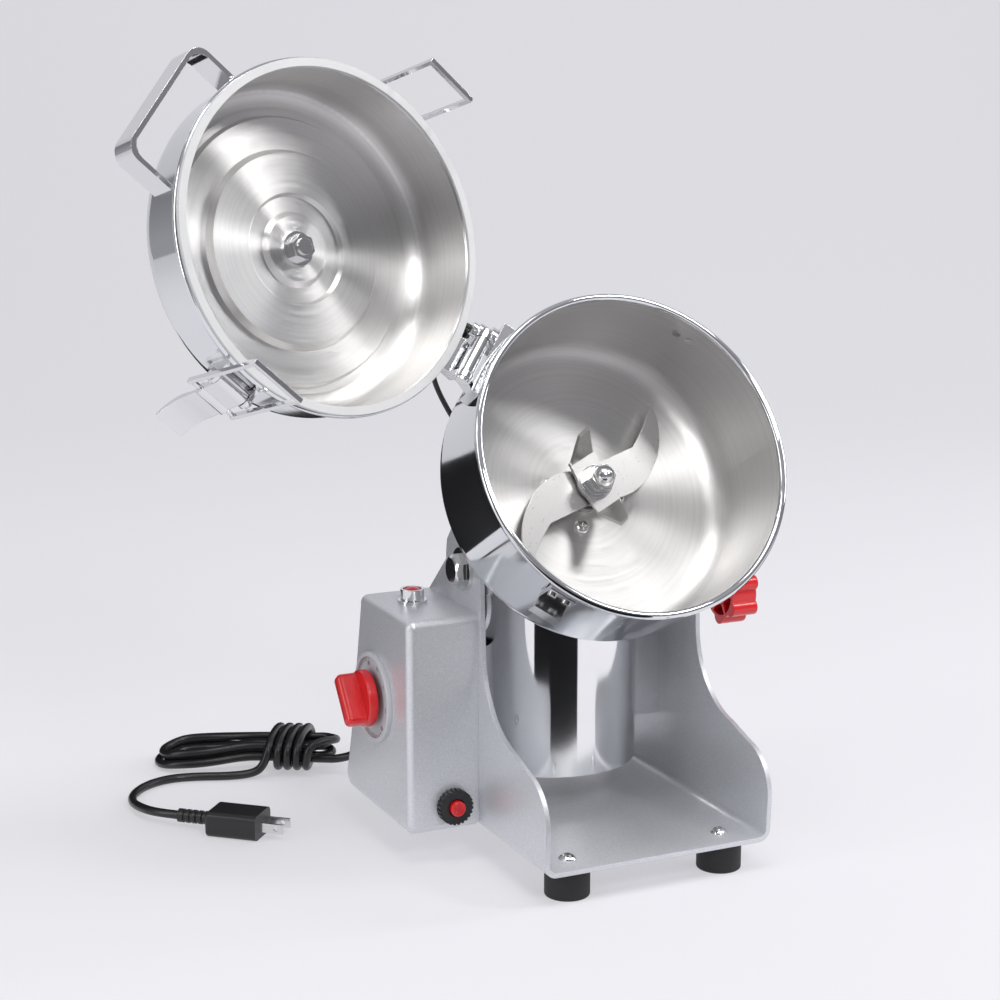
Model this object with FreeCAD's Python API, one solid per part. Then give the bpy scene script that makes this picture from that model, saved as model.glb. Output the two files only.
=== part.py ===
import FreeCAD, Part
import math
import os

# Electric grain mill: a grinding bowl that tips forward between the cheeks of a U-shaped bracket,
# a fixed upright motor casing, a control box on the left cheek and a hinged lid with toggle latches.
# Millimetres, +X to the right, +Y to the back, +Z up. The origin is the centre of the four feet on the
# table. The bowl is tipped forward and the lid is open, as photographed.

os.makedirs("parts", exist_ok=True)
V = FreeCAD.Vector
X, Y, Z = V(1, 0, 0), V(0, 1, 0), V(0, 0, 1)

# Pose at rest
tip_deg = 62.0
lid_open_deg = 160.0
hinge_spin_deg = 52.0

# Bracket
plate_t = 3.0
bracket_w = 158.0
bracket_len = 216.0
base_z = 20.0
bend_r = 8.0
pivot_y, pivot_z = 10.0, 187.0
ear_r = 20.0
foot_x, foot_inset, foot_r = 54.0, 20.0, 14.25
foot_screw_r = 2.5

# Pivots of the bowl
pivot_r, pivot_run = 6.0, 0.06
cheek_t, cheek_gap, cheek_r = 3.0, 2.0, 40.0
saddle_t, saddle_len = 3.0, 92.0

# Motor
casing_r, casing_wall = 57.0, 1.2
casing_y = pivot_y + 35.0
casing_z0, casing_z1 = 45.0, 186.0
cap_t = 3.0
shaft_r = 6.0
bearing_r, bearing_t = 16.0, 10.0
run_gap = 0.05
rotor_r, rotor_h = 26.0, 46.0
stator_gap = 1.0
stator_z = 88.0
comm_r, comm_h = 14.0, 16.0

# Bowl
bowl_r, bowl_wall, bowl_floor = 100.0, 1.5, 2.5
bowl_depth, bowl_corner = 80.0, 13.0
bead_r = 2.6
rim_z = pivot_z + 110.0
floor_screw_pcd, floor_screw_turn = 48.0, 15.0
hub_flange_r, hub_flange_t, hub_boss_r = 31.0, 4.0, 18.0
hub_drop = 8.0
blade_shaft_r = 7.0
blade_tip_r, blade_t = 74.0, 2.5
wing_r = 38.0
drive_r, dog_h = 10.6, 3.4

# Lid
lid_depth, lid_wall = 48.0, 1.5
lid_gap = 0.3
gasket_t = 1.8
hinge_out, hinge_drop = 13.0, 7.0
pin_r, pin_run = 2.5, 0.05
ear_w, ear_t = 34.0, 4.0
latch_up = 20.0

# Control box
box_t, box_wall, box_edge = 48.0, 3.0, 6.0
box_front, box_low, box_top = -12.0, 22.0, 162.0
box_back_low, box_back_top = 101.0, 72.0
dial_y, dial_z, dial_r = 45.0, 99.0, 29.5
timer_r = 18.5
lamp_x, lamp_y = -104.0, 36.0
guard_x, guard_z, guard_r = -97.0, 39.0, 11.5

# Lock knob
lock_y, lock_z = -2.0, 155.0
lock_r, lock_depth, lock_stand = 21.5, 19.0, 23.0

# Mains cord: route on the table, hank and plug
cord_r, gland_len = 3.0, 15.0
hank_x, hank_y = -126.0, 212.0
hank_u = (0.875, -0.484)
hank_pitch, waist = 6.9, 16.0
far_end, lobe, lay = 100.0, 24.0, 18.0
wrap_turns = 4
gland_x = -92.0
cord_points = [(-91.5, 135, 40.5), (-88.5, 148, 32), (-87.5, 160, 24), (-90.5, 170.5, 17.5)]
strand_points = [(-219, 214, 3.3), (-237, 207, 3.3), (-250, 193, 3.3), (-256, 175, 4.5), (-256, 156, 7)]
plug_at, plug_dir = (-237, 125, 8.6), (0.75, -0.66)

# Curly lead of the lid switch
lead_r, curl_r, curl_pitch, curls = 1.7, 5.4, 4.6, 6
lead_boss = (-58.0, 76.0)
switch_x = 25.0

hinge_r = bowl_r + bowl_wall + hinge_out
in_x = bracket_w / 2 - plate_t
out_x = bracket_w / 2
front_y, back_y = -bracket_len / 2, bracket_len / 2
PIVOT = V(0, pivot_y, pivot_z)
floor_z = rim_z - bowl_depth
under_z = floor_z - bowl_floor
saddle_z = under_z - saddle_t
flange_z = saddle_z - hub_flange_t
hub_z = flange_z - hub_drop
spin = math.radians(hinge_spin_deg)
RHO = V(-math.sin(spin), math.cos(spin), 0)
TAN = V(-math.cos(spin), -math.sin(spin), 0)
HINGE = V(0, casing_y, rim_z - hinge_drop) + RHO * hinge_r


def cyl(r, h, p, d=Z):
    return Part.makeCylinder(r, h, V(*p), d)


def ring(ro, ri, h, p, d=Z):
    return cyl(ro, h, p, d).cut(cyl(ri, h, p, d))


def block(x0, y0, z0, x1, y1, z1):
    return Part.makeBox(x1 - x0, y1 - y0, z1 - z0, V(x0, y0, z0))


def face(pts):
    v = [V(*p) for p in pts]
    return Part.Face(Part.makePolygon(v + v[:1]))


def hexagon(flats, h, p, d=Z):
    """A hexagonal prism of the given width over flats, along d."""
    r = flats / math.sqrt(3)
    f = face([(r * math.cos(k * math.pi / 3), r * math.sin(k * math.pi / 3), 0) for k in range(6)])
    s = f.extrude(V(0, 0, h))
    s.Placement = FreeCAD.Placement(V(*p), FreeCAD.Rotation(Z, d))
    return s


def curve(pts):
    """An outline through points, where a tuple (mid, end) is an arc and a plain point is a line."""
    edges, here = [], V(*pts[0])
    for item in pts[1:]:
        if isinstance(item[0], (tuple, list)):
            mid, end = V(*item[0]), V(*item[1])
            edges.append(Part.Arc(here, mid, end).toShape())
        else:
            end = V(*item)
            edges.append(Part.LineSegment(here, end).toShape())
        here = end
    return Part.Wire(edges)


def lathe(pts, axis_y):
    """A solid turned about the vertical axis at (0, axis_y) from an outline of (r, z) points."""
    def at(p):
        return (at(p[0]), at(p[1])) if isinstance(p[0], tuple) else (p[0], axis_y, p[1])
    w = curve([at(p) for p in pts] + [at(pts[0])])
    return Part.Face(w).revolve(V(0, axis_y, 0), Z, 360)


def side(pts, x0, x1):
    """A plate in the YZ plane between x0 and x1, from an outline of (y, z) points."""
    def at(p):
        return (at(p[0]), at(p[1])) if isinstance(p[0], tuple) else (x0, p[0], p[1])
    return Part.Face(curve([at(p) for p in pts] + [at(pts[0])])).extrude(V(x1 - x0, 0, 0))


def group(shapes):
    return Part.makeCompound([s for s in shapes])


def fuse(shapes):
    out = shapes[0]
    for s in shapes[1:]:
        out = out.fuse(s)
    return out.removeSplitter()


def mirror_x(s):
    return s.mirror(V(0, 0, 0), X)


def turned(s, k, step, p, d=Z):
    c = s.copy()
    c.rotate(V(*p), d, k * step)
    return c


def round_edges(s, r, pick):
    return s.makeFillet(r, [e for e in s.Edges if pick(e)])


def tipped(s):
    """Carries a piece of the bowl from upright to its tipped place."""
    c = s.copy()
    c.rotate(PIVOT, X, tip_deg)
    return c


def opened(s):
    """Carries a piece of the lid from closed to open, and then with the bowl."""
    c = s.copy()
    c.rotate(HINGE, TAN, lid_open_deg)
    return tipped(c)


def around(s, deg):
    """Turns a piece built on the bowl's +Y side about the bowl's axis; 0 stays at the back."""
    c = s.copy()
    c.rotate(V(0, casing_y, 0), Z, deg)
    return c


def export(name, s):
    s.exportStep("parts/%s.step" % name)
    print("%-22s solids %d volume %.0f valid %s" % (name, len(s.Solids), s.Volume, s.isValid()))


# Bracket with its feet
def cheek_outline():
    f, b, y, z = front_y, back_y, pivot_y, pivot_z
    return [(f, base_z), (f - 1.5, base_z + 30), ((f + 5, base_z + 48), (f + 24, base_z + 59)),
            (f + 46, base_z + 66), ((f + 78, base_z + 84), (f + 91.5, base_z + 117)),
            (y - 24.5, z - 4), ((y - 16, z + 13), (y + 2, z + ear_r)), (y + 12, z + ear_r - 4),
            (box_back_top, box_top - 5), ((b - 8, box_top - 50), (b, base_z + 50)), (b, base_z)]


def bracket():
    """One bent plate: a U section along Y, trimmed to the cheeks' outline."""
    o, r, z0, z1, k = out_x, bend_r, base_z, pivot_z + ear_r + 10, 1 - math.sqrt(0.5)
    i, q, zb = in_x, bend_r - plate_t, base_z + plate_t
    def at(x, z):
        return (x, front_y - 5, z)
    u = [at(-o, z1), at(-o, z0 + r), (at(-o + k * r, z0 + k * r), at(-o + r, z0)), at(o - r, z0),
         (at(o - k * r, z0 + k * r), at(o, z0 + r)), at(o, z1), at(i, z1), at(i, zb + q),
         (at(i - k * q, zb + k * q), at(i - q, zb)), at(-i + q, zb),
         (at(-i + k * q, zb + k * q), at(-i, zb + q)), at(-i, z1), at(-o, z1)]
    s = Part.Face(curve(u)).extrude(V(0, bracket_len + 10, 0)).common(side(cheek_outline(), -o - 1, o + 1))
    for k in (-1, 1):
        s = s.cut(cyl(pivot_r + run_gap, 10, (k * out_x - 5, pivot_y, pivot_z), X))
        for y in (front_y + foot_inset, back_y - foot_inset):
            s = s.cut(cyl(foot_screw_r + 0.2, 10, (k * foot_x, y, base_z - 4)))
        for z in (80, 114):
            s = s.cut(cyl(3.02, 10, (k * out_x - 5, casing_y, z), X))
    for y, z in box_posts():
        s = s.cut(cyl(1.7, 10, (-out_x - 5, y, z), X))
    return s.cut(cyl(5.2, 10, (out_x - 5, lock_y, lock_z), X))


def feet():
    feet, screws = [], []
    for sx in (-1, 1):
        for y in (front_y + foot_inset, back_y - foot_inset):
            p = (sx * foot_x, y, 0)
            f = round_edges(cyl(foot_r, base_z - 0.02, p), 1.2, lambda e: e.BoundBox.ZMax < 0.1)
            f = f.cut(cyl(4.8, 6, p)).cut(cyl(foot_screw_r + 0.02, base_z, p))
            feet.append(f)
            top = base_z + plate_t
            dome = Part.makeSphere(6.5, V(p[0], p[1], top - 3.2)).common(cyl(7, 5, (p[0], p[1], top)))
            dome = dome.cut(hexagon(3, 3, (p[0], p[1], top + 1.6)))
            screws.append(fuse([dome, cyl(foot_screw_r, base_z - 8, (p[0], p[1], top - base_z + 8))]))
    return group(feet), group(screws)


# Motor
def casing():
    s = ring(casing_r, casing_r - casing_wall, casing_z1 - casing_z0, (0, casing_y, casing_z0))
    return s


def casing_bottom():
    r = casing_r - casing_wall
    s = lathe([(0, casing_z0 + 1), (r - 6, casing_z0 + 1), (r - 6, casing_z0), (r, casing_z0),
               (r, casing_z0 + 9), (r - cap_t, casing_z0 + 9), (r - cap_t, casing_z0 + 1 + cap_t),
               (0, casing_z0 + 1 + cap_t)], casing_y)
    s = s.fuse(cyl(bearing_r + 4, bearing_t + 3, (0, casing_y, casing_z0 + 1)))
    s = s.cut(cyl(bearing_r, bearing_t, (0, casing_y, casing_z0 + 4)))
    slot = block(-3, casing_y + 26, casing_z0 - 1, 3, casing_y + 44, casing_z0 + 8)
    for k in range(8):
        s = s.cut(turned(slot, k, 45, (0, casing_y, 0)))
    return s


def casing_top():
    r = casing_r - casing_wall
    s = cyl(r, cap_t + 1, (0, casing_y, casing_z1 - cap_t - 1))
    s = s.fuse(cyl(bearing_r + 4, bearing_t + 3, (0, casing_y, casing_z1 - bearing_t - 3)))
    s = s.cut(cyl(bearing_r, bearing_t, (0, casing_y, casing_z1 - bearing_t - 3)))
    return s.cut(cyl(shaft_r + 1, 20, (0, casing_y, casing_z1 - 18)))


def casing_lugs():
    """Blocks welded to the casing, and the four screws that hold them to the cheeks."""
    lugs, screws = [], []
    bite = in_x - casing_r - 5
    for sx in (-1, 1):
        lug = block(casing_r - 13, casing_y - 15, 66, in_x - 0.02, casing_y + 15, 128)
        lug = lug.cut(cyl(casing_r + 0.02, 80, (0, casing_y, 60)))
        for z in (80, 114):
            lug = lug.cut(cyl(3.02, 30, (in_x - bite, casing_y, z), X))
            head = cyl(5, 3, (out_x, casing_y, z), X).cut(hexagon(4, 2, (out_x + 1.6, casing_y, z), X))
            s = fuse([head, cyl(3, bite + plate_t, (in_x - bite, casing_y, z), X)])
            screws.append(s if sx > 0 else mirror_x(s))
        lugs.append(lug if sx > 0 else mirror_x(lug))
    return group(lugs), group(screws)


def motor_inside():
    c = (0, casing_y)
    stator_r = casing_r - casing_wall - 0.02
    ri = rotor_r + stator_gap
    z0, z1 = stator_z, stator_z + rotor_h
    core = ring(stator_r, ri, rotor_h, (c[0], c[1], z0))
    slot = block(-9, casing_y + ri - 2, z0 - 1, 9, casing_y + stator_r - 9, z1 + 1)
    wind = []
    for k in (0, 1):
        core = core.cut(turned(slot, k, 180, (0, casing_y, 0)))
        w = block(-8.5, casing_y + ri + 1, z0 - 9, 8.5, casing_y + stator_r - 9.5, z1 + 9)
        wind.append(turned(round_edges(w, 3, lambda e: e.BoundBox.ZLength < 1), k, 180, (0, casing_y, 0)))
    rotor = cyl(rotor_r, rotor_h, (c[0], c[1], z0)).cut(cyl(shaft_r, rotor_h, (c[0], c[1], z0)))
    groove = block(-1.4, casing_y + rotor_r - 5, z0 - 1, 1.4, casing_y + rotor_r + 1, z1 + 1)
    for k in range(12):
        rotor = rotor.cut(turned(groove, k, 30, (0, casing_y, 0)))
    cz = z0 - 12 - comm_h
    comm = ring(comm_r, shaft_r, comm_h, (c[0], c[1], cz))
    nick = block(-0.5, casing_y + comm_r - 1.5, cz - 1, 0.5, casing_y + comm_r + 1, cz + comm_h + 1)
    for k in range(12):
        comm = comm.cut(turned(nick, k, 30, (0, casing_y, 0)))
    brush = block(-3, casing_y + comm_r + 0.3, cz + 3, 3, casing_y + comm_r + 22, cz + 13)
    tube_ = block(-5, casing_y + comm_r + 4, cz + 1, 5, casing_y + casing_r - casing_wall - 2.5, cz + 15)
    tube_ = tube_.cut(block(-3.02, casing_y, cz + 2.98, 3.02, casing_y + comm_r + 32, cz + 13.02))
    plate = ring(casing_r - casing_wall - 0.02, 40, 3, (c[0], c[1], cz - 1.9))
    holders = fuse([plate] + [turned(tube_, k, 180, (0, casing_y, 0)) for k in (0, 1)])
    brushes = [turned(brush, k, 180, (0, casing_y, 0)) for k in (0, 1)]
    shaft_top = hub_z - 9
    shaft = cyl(shaft_r, shaft_top - casing_z0 - 5, (c[0], c[1], casing_z0 + 5))
    fan = ring(16, shaft_r, 10, (c[0], c[1], z1 + 16))
    fan = fan.fuse(ring(44, 12, 1.6, (c[0], c[1], z1 + 16)))
    vane = block(-0.8, casing_y + 14, z1 + 16, 0.8, casing_y + 43, z1 + 27)
    for k in range(10):
        fan = fan.fuse(turned(vane, k, 36, (0, casing_y, 0)))
    return core, group(wind), rotor, comm, holders, group(brushes), shaft, fan


def bearings(z_list, ro, ri, h):
    """Outer and inner rings are one plain ring each; the shaft turns in the bore."""
    return group([ring(ro - 0.01, ri + run_gap, h, (0, casing_y, z)) for z in z_list])


def dogs(z, lower):
    """Half of the drive coupling: a disc with three teeth, below (driving) or above (driven)."""
    disc_z = z - 5 if lower else z + dog_h
    bore = shaft_r if lower else blade_shaft_r
    tooth = ring(drive_r, 7.6, dog_h, (0, casing_y, z))
    wedge = face([(0, casing_y, z), (60, casing_y + 20, z), (60, casing_y - 20, z)])
    tooth = tooth.common(wedge.extrude(V(0, 0, dog_h)))
    turn = 0 if lower else 0.5
    return fuse([ring(drive_r, bore + 0.01, 5 if lower else 3.5, (0, casing_y, disc_z))]
                + [turned(tooth, k + turn, 120, (0, casing_y, 0)) for k in range(3)])


# Control box
def box_outline(g):
    """The box's side outline, drawn in by g on every edge."""
    f, lo, hi, bl, bt = box_front + g, box_low + g, box_top - g, box_back_low - g, box_back_top - g
    return [(f, lo + 5), (f, hi - 5), ((f + 1.5, hi - 1.5), (f + 5, hi)), (bt - 6, hi),
            ((bt - 1.5, hi - 2), (bt, hi - 7)), (bl - 8, lo + 38), (bl, lo + 12),
            ((bl - 2, lo + 4), (bl - 9, lo)), (f + 5, lo), ((f + 1.5, lo + 1.5), (f, lo + 5))]


def box_posts():
    return [(box_front + 9, box_low + 50), (box_front + 9, box_top - 12),
            (box_back_top - 13, box_top - 12), (box_back_low - 18, box_low + 11)]


def control_box():
    o = -out_x
    s = side(box_outline(0)[:-1], o - box_t, o)
    s = round_edges(s, box_edge - 1, lambda e: e.BoundBox.XMax < o - box_t + 0.01)
    s = s.cut(side(box_outline(box_wall)[:-1], o - box_t + box_wall, o + 1))
    for y, z in box_posts():
        s = s.fuse(cyl(5, box_t - 3, (o - box_t + 2, y, z), X).cut(cyl(1.7, 22, (o - 22, y, z), X)))
    s = s.cut(cyl(5.2, 20, (o - box_t - 5, dial_y, dial_z), X))
    s = s.cut(cyl(6.2, 10, (lamp_x, lamp_y, box_top - 6)))
    s = s.cut(cyl(8.1, 10, (guard_x, box_front - 5, guard_z), Y))
    s = s.cut(cyl(6.1, 20, (gland_x, box_back_low - 12, box_low + 20), Y))
    return s


def box_screws():
    """Four screws from inside the cheek into the box's posts."""
    out = []
    for y, z in box_posts():
        head = cyl(3.2, 1.9, (-in_x, y, z), X)
        slot = block(-in_x + 1.1, y - 2.6, z - 0.5, -in_x + 2, y + 2.6, z + 0.5)
        out.append(fuse([head.cut(slot), cyl(1.68, 18, (-in_x - 18, y, z), X)]))
    return group(out)


def dial():
    """Marked plate with a raised rim round the timer knob."""
    x = -out_x - box_t
    s = ring(dial_r, 5.2, 3.2, (x - 3.2, dial_y, dial_z), X)
    s = round_edges(s, 1, lambda e: e.BoundBox.XMax < x - 3 and e.BoundBox.YLength > 40)
    return s.cut(cyl(dial_r - 3, 2, (x - 3.2, dial_y, dial_z), X))


def timer():
    """Spring timer behind the panel, and the knob on its spindle."""
    x = -out_x - box_t
    body = block(x + box_wall, dial_y - 19, dial_z - 17, x + box_wall + 24, dial_y + 19, dial_z + 17)
    body = round_edges(body, 2, lambda e: abs(e.BoundBox.XLength - 24) < 0.1)
    body = body.cut(cyl(3 + run_gap, 12, (x + box_wall - 1, dial_y, dial_z), X))
    neck = ring(5.1, 3 + run_gap, 6, (x - 3, dial_y, dial_z), X)
    skirt = cyl(timer_r, 6, (x - 11, dial_y, dial_z), X)
    skirt = round_edges(skirt, 1.5, lambda e: e.BoundBox.XMax < x - 10.9)
    grip = block(x - 24, dial_y - 5, dial_z - timer_r + 1, x - 9, dial_y + 5, dial_z + timer_r - 1)
    grip = round_edges(grip, 3.5, lambda e: e.BoundBox.XMax < x - 23.9 or e.BoundBox.XLength > 14)
    knob = skirt.fuse(grip)
    knob = knob.fuse(cyl(3, 25, (x - 12, dial_y, dial_z), X))
    knob = knob.cut(block(x - 24.3, dial_y - 0.7, dial_z + 4, x - 23.2, dial_y + 0.7, dial_z + timer_r - 4))
    knob = knob.removeSplitter()
    knob.rotate(V(0, dial_y, dial_z), X, -38)
    return fuse([body, neck]), knob


def lamp():
    z = box_top
    c = (lamp_x, lamp_y)
    bezel = ring(9.5, 6, 2, (c[0], c[1], z)).fuse(ring(7.6, 6, 9, (c[0], c[1], z)))
    bezel = bezel.fuse(ring(6.15, 4.9, 10, (c[0], c[1], z - 9)))
    bezel = bezel.removeSplitter()
    lens = cyl(5.95, 6, (c[0], c[1], z + 1.1)).fuse(cyl(4.85, 12, (c[0], c[1], z - 9)))
    dome = Part.makeSphere(8, V(c[0], c[1], z + 2.2)).common(cyl(5.95, 8, (c[0], c[1], z + 7)))
    lens = fuse([lens, dome])
    return bezel, lens


def guard():
    """Resettable overload protector on the front: knurled collar, body and red button."""
    y, x, z = box_front, guard_x, guard_z
    collar = ring(guard_r, 5.6, 6, (x, y - 6, z), Y)
    nick = block(x - 0.7, y - 7, z + guard_r - 0.8, x + 0.7, y + 1, z + guard_r + 1)
    for k in range(24):
        collar = collar.cut(turned(nick, k, 15, (x, 0, z), Y))
    body = cyl(8, 22, (x, y, z), Y).fuse(cyl(9, 16, (x, y + box_wall, z), Y))
    body = body.cut(cyl(4.5, 12, (x, y - 1, z), Y))
    lugs = [block(x + s * 4 - 1, y + box_wall + 15, z - 3, x + s * 4 + 1, y + box_wall + 25, z + 3)
            for s in (-1.4, 1.4)]
    button = fuse([cyl(5, 5.5, (x, y - 9, z), Y), cyl(4.4, 10, (x, y - 4, z), Y)])
    button = round_edges(button, 0.8, lambda e: e.BoundBox.YMax < y - 8.9)
    return fuse([body, collar] + lugs), button


def terminals():
    z, y = box_low + 26, box_back_low - 50
    x = -out_x - 14
    s = block(x - 10, y - 4, z - 22, -out_x - 0.02, y + 12, z + 22)
    for k in range(4):
        s = s.cut(cyl(2.2, 8, (x - 12, y + 4, z - 16 + 10.6 * k), X))
    return s


# Lock knob
def lock():
    x = out_x
    nut = hexagon(19, 8, (x, lock_y, lock_z), X).cut(cyl(5.02, 9, (x - 0.5, lock_y, lock_z), X))
    kx = x + lock_stand
    lobe = [Part.makeCylinder(5.2, lock_depth, V(kx, lock_y, lock_z + lock_r - 5), X)]
    disc = cyl(lock_r - 4.2, lock_depth, (kx, lock_y, lock_z), X)
    for k in range(6):
        disc = disc.fuse(turned(lobe[0], k, 60, (0, lock_y, lock_z), X))
    disc = disc.removeSplitter()
    disc = round_edges(disc, 1.6, lambda e: e.BoundBox.XMin > kx + lock_depth - 0.1)
    hollow = ring(lock_r - 6.2, 8, lock_depth - 3, (kx, lock_y, lock_z), X)
    rib = block(kx - 1, lock_y - 0.9, lock_z + 7, kx + lock_depth - 2, lock_y + 0.9, lock_z + lock_r - 5)
    for k in range(6):
        hollow = hollow.cut(turned(rib, k + 0.5, 60, (0, lock_y, lock_z), X))
    disc = disc.cut(hollow)
    disc = disc.cut(cyl(5.02, lock_depth - 5, (kx, lock_y, lock_z), X))
    stud = cyl(5, lock_stand + lock_depth - 5 + plate_t + cheek_gap - 0.5,
               (in_x - cheek_gap + 0.5, lock_y, lock_z), X)
    return nut, disc, stud


# Pivots
def pivots():
    bolts, washers, nuts, spacers = [], [], [], []
    for sx in (-1, 1):
        x = in_x - cheek_gap - cheek_t
        c = (pivot_y, pivot_z)
        head = hexagon(18, 7, (out_x + 2.5, c[0], c[1]), X)
        head = head.common(Part.makeSphere(15, V(out_x - 3.2, c[0], c[1])))
        bolt = head.fuse(cyl(pivot_r, out_x + 2.5 - x + 0.3, (x - 0.3, c[0], c[1]), X))
        bolt = bolt.fuse(cyl(pivot_r - 1.5, 9, (x - 9.3, c[0], c[1]), X))
        nut = hexagon(13, 6, (x - 6.4, c[0], c[1]), X).cut(cyl(4.52, 20, (x - 12, c[0], c[1]), X))
        washer = ring(14, pivot_r + 0.02, 2.5, (out_x, c[0], c[1]), X)
        spacer = ring(13, pivot_r + 0.02, cheek_gap - 0.4, (in_x - cheek_gap + 0.4, c[0], c[1]), X)
        for lst, s in ((bolts, bolt), (washers, washer), (nuts, nut), (spacers, spacer)):
            lst.append(s if sx > 0 else mirror_x(s))
    return group(bolts + washers + nuts), group(spacers)


# Bowl, upright, before it is tipped
def bowl():
    r, t, zf, c = bowl_r, bowl_wall, floor_z, bowl_corner
    k = c * (1 - math.sqrt(0.5))
    zr, rb = rim_z - bead_r, bead_r
    s = lathe([(14.02, zf), (r - c, zf), ((r - k, zf + k), (r, zf + c)), (r, zr),
               ((r + t / 2 + 0.35, zr + rb * 0.93), (r + 2 * rb - 0.6, zr)),
               ((r + 2.6, zr - rb), (r + t, zr - rb * 0.9)), (r + t, zf + c),
               ((r + t - (c + t) * (1 - math.sqrt(0.5)), zf - t + (c + t) * (1 - math.sqrt(0.5))),
                (r - c, zf - t)), (r - c - 2, zf - bowl_floor), (14.02, zf - bowl_floor)], casing_y)
    for x, y in floor_points():
        s = s.cut(cyl(2.2, 9, (x, y, zf - 5)))
    return s


def floor_points():
    for k in range(4):
        a = math.radians(90 * k + 90 - floor_screw_turn)
        yield floor_screw_pcd / 2 * math.cos(a), casing_y + floor_screw_pcd / 2 * math.sin(a)


def saddle():
    """Folded cradle under the bowl, with a round cheek on each side for the pivot."""
    x1 = in_x - cheek_gap
    x0 = x1 - cheek_t
    y0 = pivot_y - 22
    plate = block(-x1, y0, saddle_z, x1, casing_y + saddle_len / 2, under_z)
    plate = plate.cut(cyl(hub_boss_r + 3, 10, (0, casing_y, saddle_z - 1)))
    for p in floor_points():
        plate = plate.cut(cyl(2.6, 10, (p[0], p[1], saddle_z - 1)))
    y, z, r = pivot_y, pivot_z, cheek_r
    k = r * math.sqrt(0.5)
    low = [(y0, saddle_z + 1), (y0, z + 14), ((y - r, z - 2), (y - k, z - k)),
           ((y, z - r), (y + k, z - k)), (y + r + 1, z + 5), (y + r + 8, saddle_z + 1)]
    wing = side(low, x0, x1).cut(cyl(pivot_r + pivot_run, 10, (x0 - 2, y, z), X))
    boss = cyl(4, 5.02, (lead_boss[0], lead_boss[1], saddle_z - 5))
    return fuse([plate, wing, mirror_x(wing), boss])


def housing():
    s = cyl(hub_flange_r, hub_flange_t, (0, casing_y, flange_z))
    s = s.fuse(cyl(hub_boss_r, hub_drop, (0, casing_y, hub_z)))
    s = s.fuse(cyl(14, floor_z + 6 - hub_z, (0, casing_y, hub_z)))
    s = s.cut(cyl(11, 10 + 0.02, (0, casing_y, hub_z)))
    s = s.cut(cyl(11, 8, (0, casing_y, floor_z - 2.02)))
    s = s.cut(cyl(blade_shaft_r + 0.8, 60, (0, casing_y, hub_z - 1)))
    for p in floor_points():
        s = s.cut(cyl(2.1, 10, (p[0], p[1], flange_z - 1)))
    return s.removeSplitter()


def floor_screws():
    out = []
    for x, y in floor_points():
        head = cyl(4.6, 2.6, (x, y, floor_z))
        head = round_edges(head, 1.4, lambda e: e.BoundBox.ZMin > floor_z + 2.5)
        for k in (0, 1):
            bar = block(x - 2.4, y - 0.5, floor_z + 1.2, x + 2.4, y + 0.5, floor_z + 3)
            head = head.cut(turned(bar, k, 90, (x, y, 0)))
        out.append(fuse([head, cyl(2.08, floor_z - flange_z, (x, y, flange_z))]))
    return group(out)


def sickle():
    """The large two-armed blade, with its arms swept like sickles."""
    z, r = floor_z + 13, blade_tip_r
    def at(rad, deg):
        a = math.radians(deg)
        return (rad * math.cos(a), casing_y + rad * math.sin(a), z)
    w = curve([at(13, 75), (at(r * 0.33, 44), at(r * 0.56, 33)), (at(r * 0.78, 38), at(r, 43)),
               (at(r * 0.84, 27), at(r * 0.63, 10)), (at(r * 0.45, -8), at(13, -50))] + [at(13, 75)])
    arm = Part.Face(w).extrude(V(0, 0, blade_t))
    s = fuse([cyl(14, blade_t, (0, casing_y, z)), arm, turned(arm, 1, 180, (0, casing_y, 0))])
    return s.cut(cyl(blade_shaft_r - 1, 10, (0, casing_y, z - 2)))


def winglets():
    """The short upper blade, with both ends bent up and bevelled."""
    z, t = floor_z + 13 + blade_t + 2.2, blade_t
    f = face([(0, casing_y - 11, z), (19, casing_y - 11, z), (19, casing_y + 8, z), (0, casing_y + 11, z)])
    flat = f.extrude(V(0, 0, t))
    rise, reach = 15.0, wing_r - 24
    flap = face([(18, casing_y - 11, z), (18, casing_y + 8, z), (18 + reach * 0.9, casing_y - 2, z + rise * 0.9),
                 (18 + reach, casing_y - 10, z + rise)])
    wing = flap.extrude(V(-rise, 0, reach).normalize() * t)
    half = flat.fuse(wing)
    s = fuse([cyl(12, t, (0, casing_y, z)), half, turned(half, 1, 180, (0, casing_y, 0))])
    s = s.cut(cyl(blade_shaft_r - 1, 10, (0, casing_y, z - 2)))
    return turned(s, 1, 115, (0, casing_y, 0))


def blade_stack():
    """Shaft, spacers, washer, hex nut and domed nut of the blades."""
    z = floor_z + 13
    top = z + 2 * blade_t + 2.2
    shaft = cyl(blade_shaft_r, z - hub_z - 0.02 + 3.5, (0, casing_y, hub_z - 3.5))
    shaft = shaft.fuse(cyl(blade_shaft_r - 1.02, top + 14 - z, (0, casing_y, z - 0.02)))
    collar = ring(12, blade_shaft_r + 0.01, 4.5, (0, casing_y, z - 4.52))
    mid = ring(10, blade_shaft_r - 1, 2.2, (0, casing_y, z + blade_t))
    washer = ring(11, blade_shaft_r - 1, 1.6, (0, casing_y, top))
    nut = hexagon(17, 6, (0, casing_y, top + 1.6)).cut(cyl(blade_shaft_r - 1, 20, (0, casing_y, top - 2)))
    cap_z = top + 7.6
    cap = hexagon(15, 5, (0, casing_y, cap_z)).fuse(Part.makeSphere(7, V(0, casing_y, cap_z + 5)))
    cap = cap.cut(cyl(8, 9, (0, casing_y, cap_z - 9))).cut(cyl(blade_shaft_r - 1, 6.4 + 9, (0, casing_y, cap_z - 9)))
    return shaft.removeSplitter(), group([collar, mid, washer, nut, cap.removeSplitter()])


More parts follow.
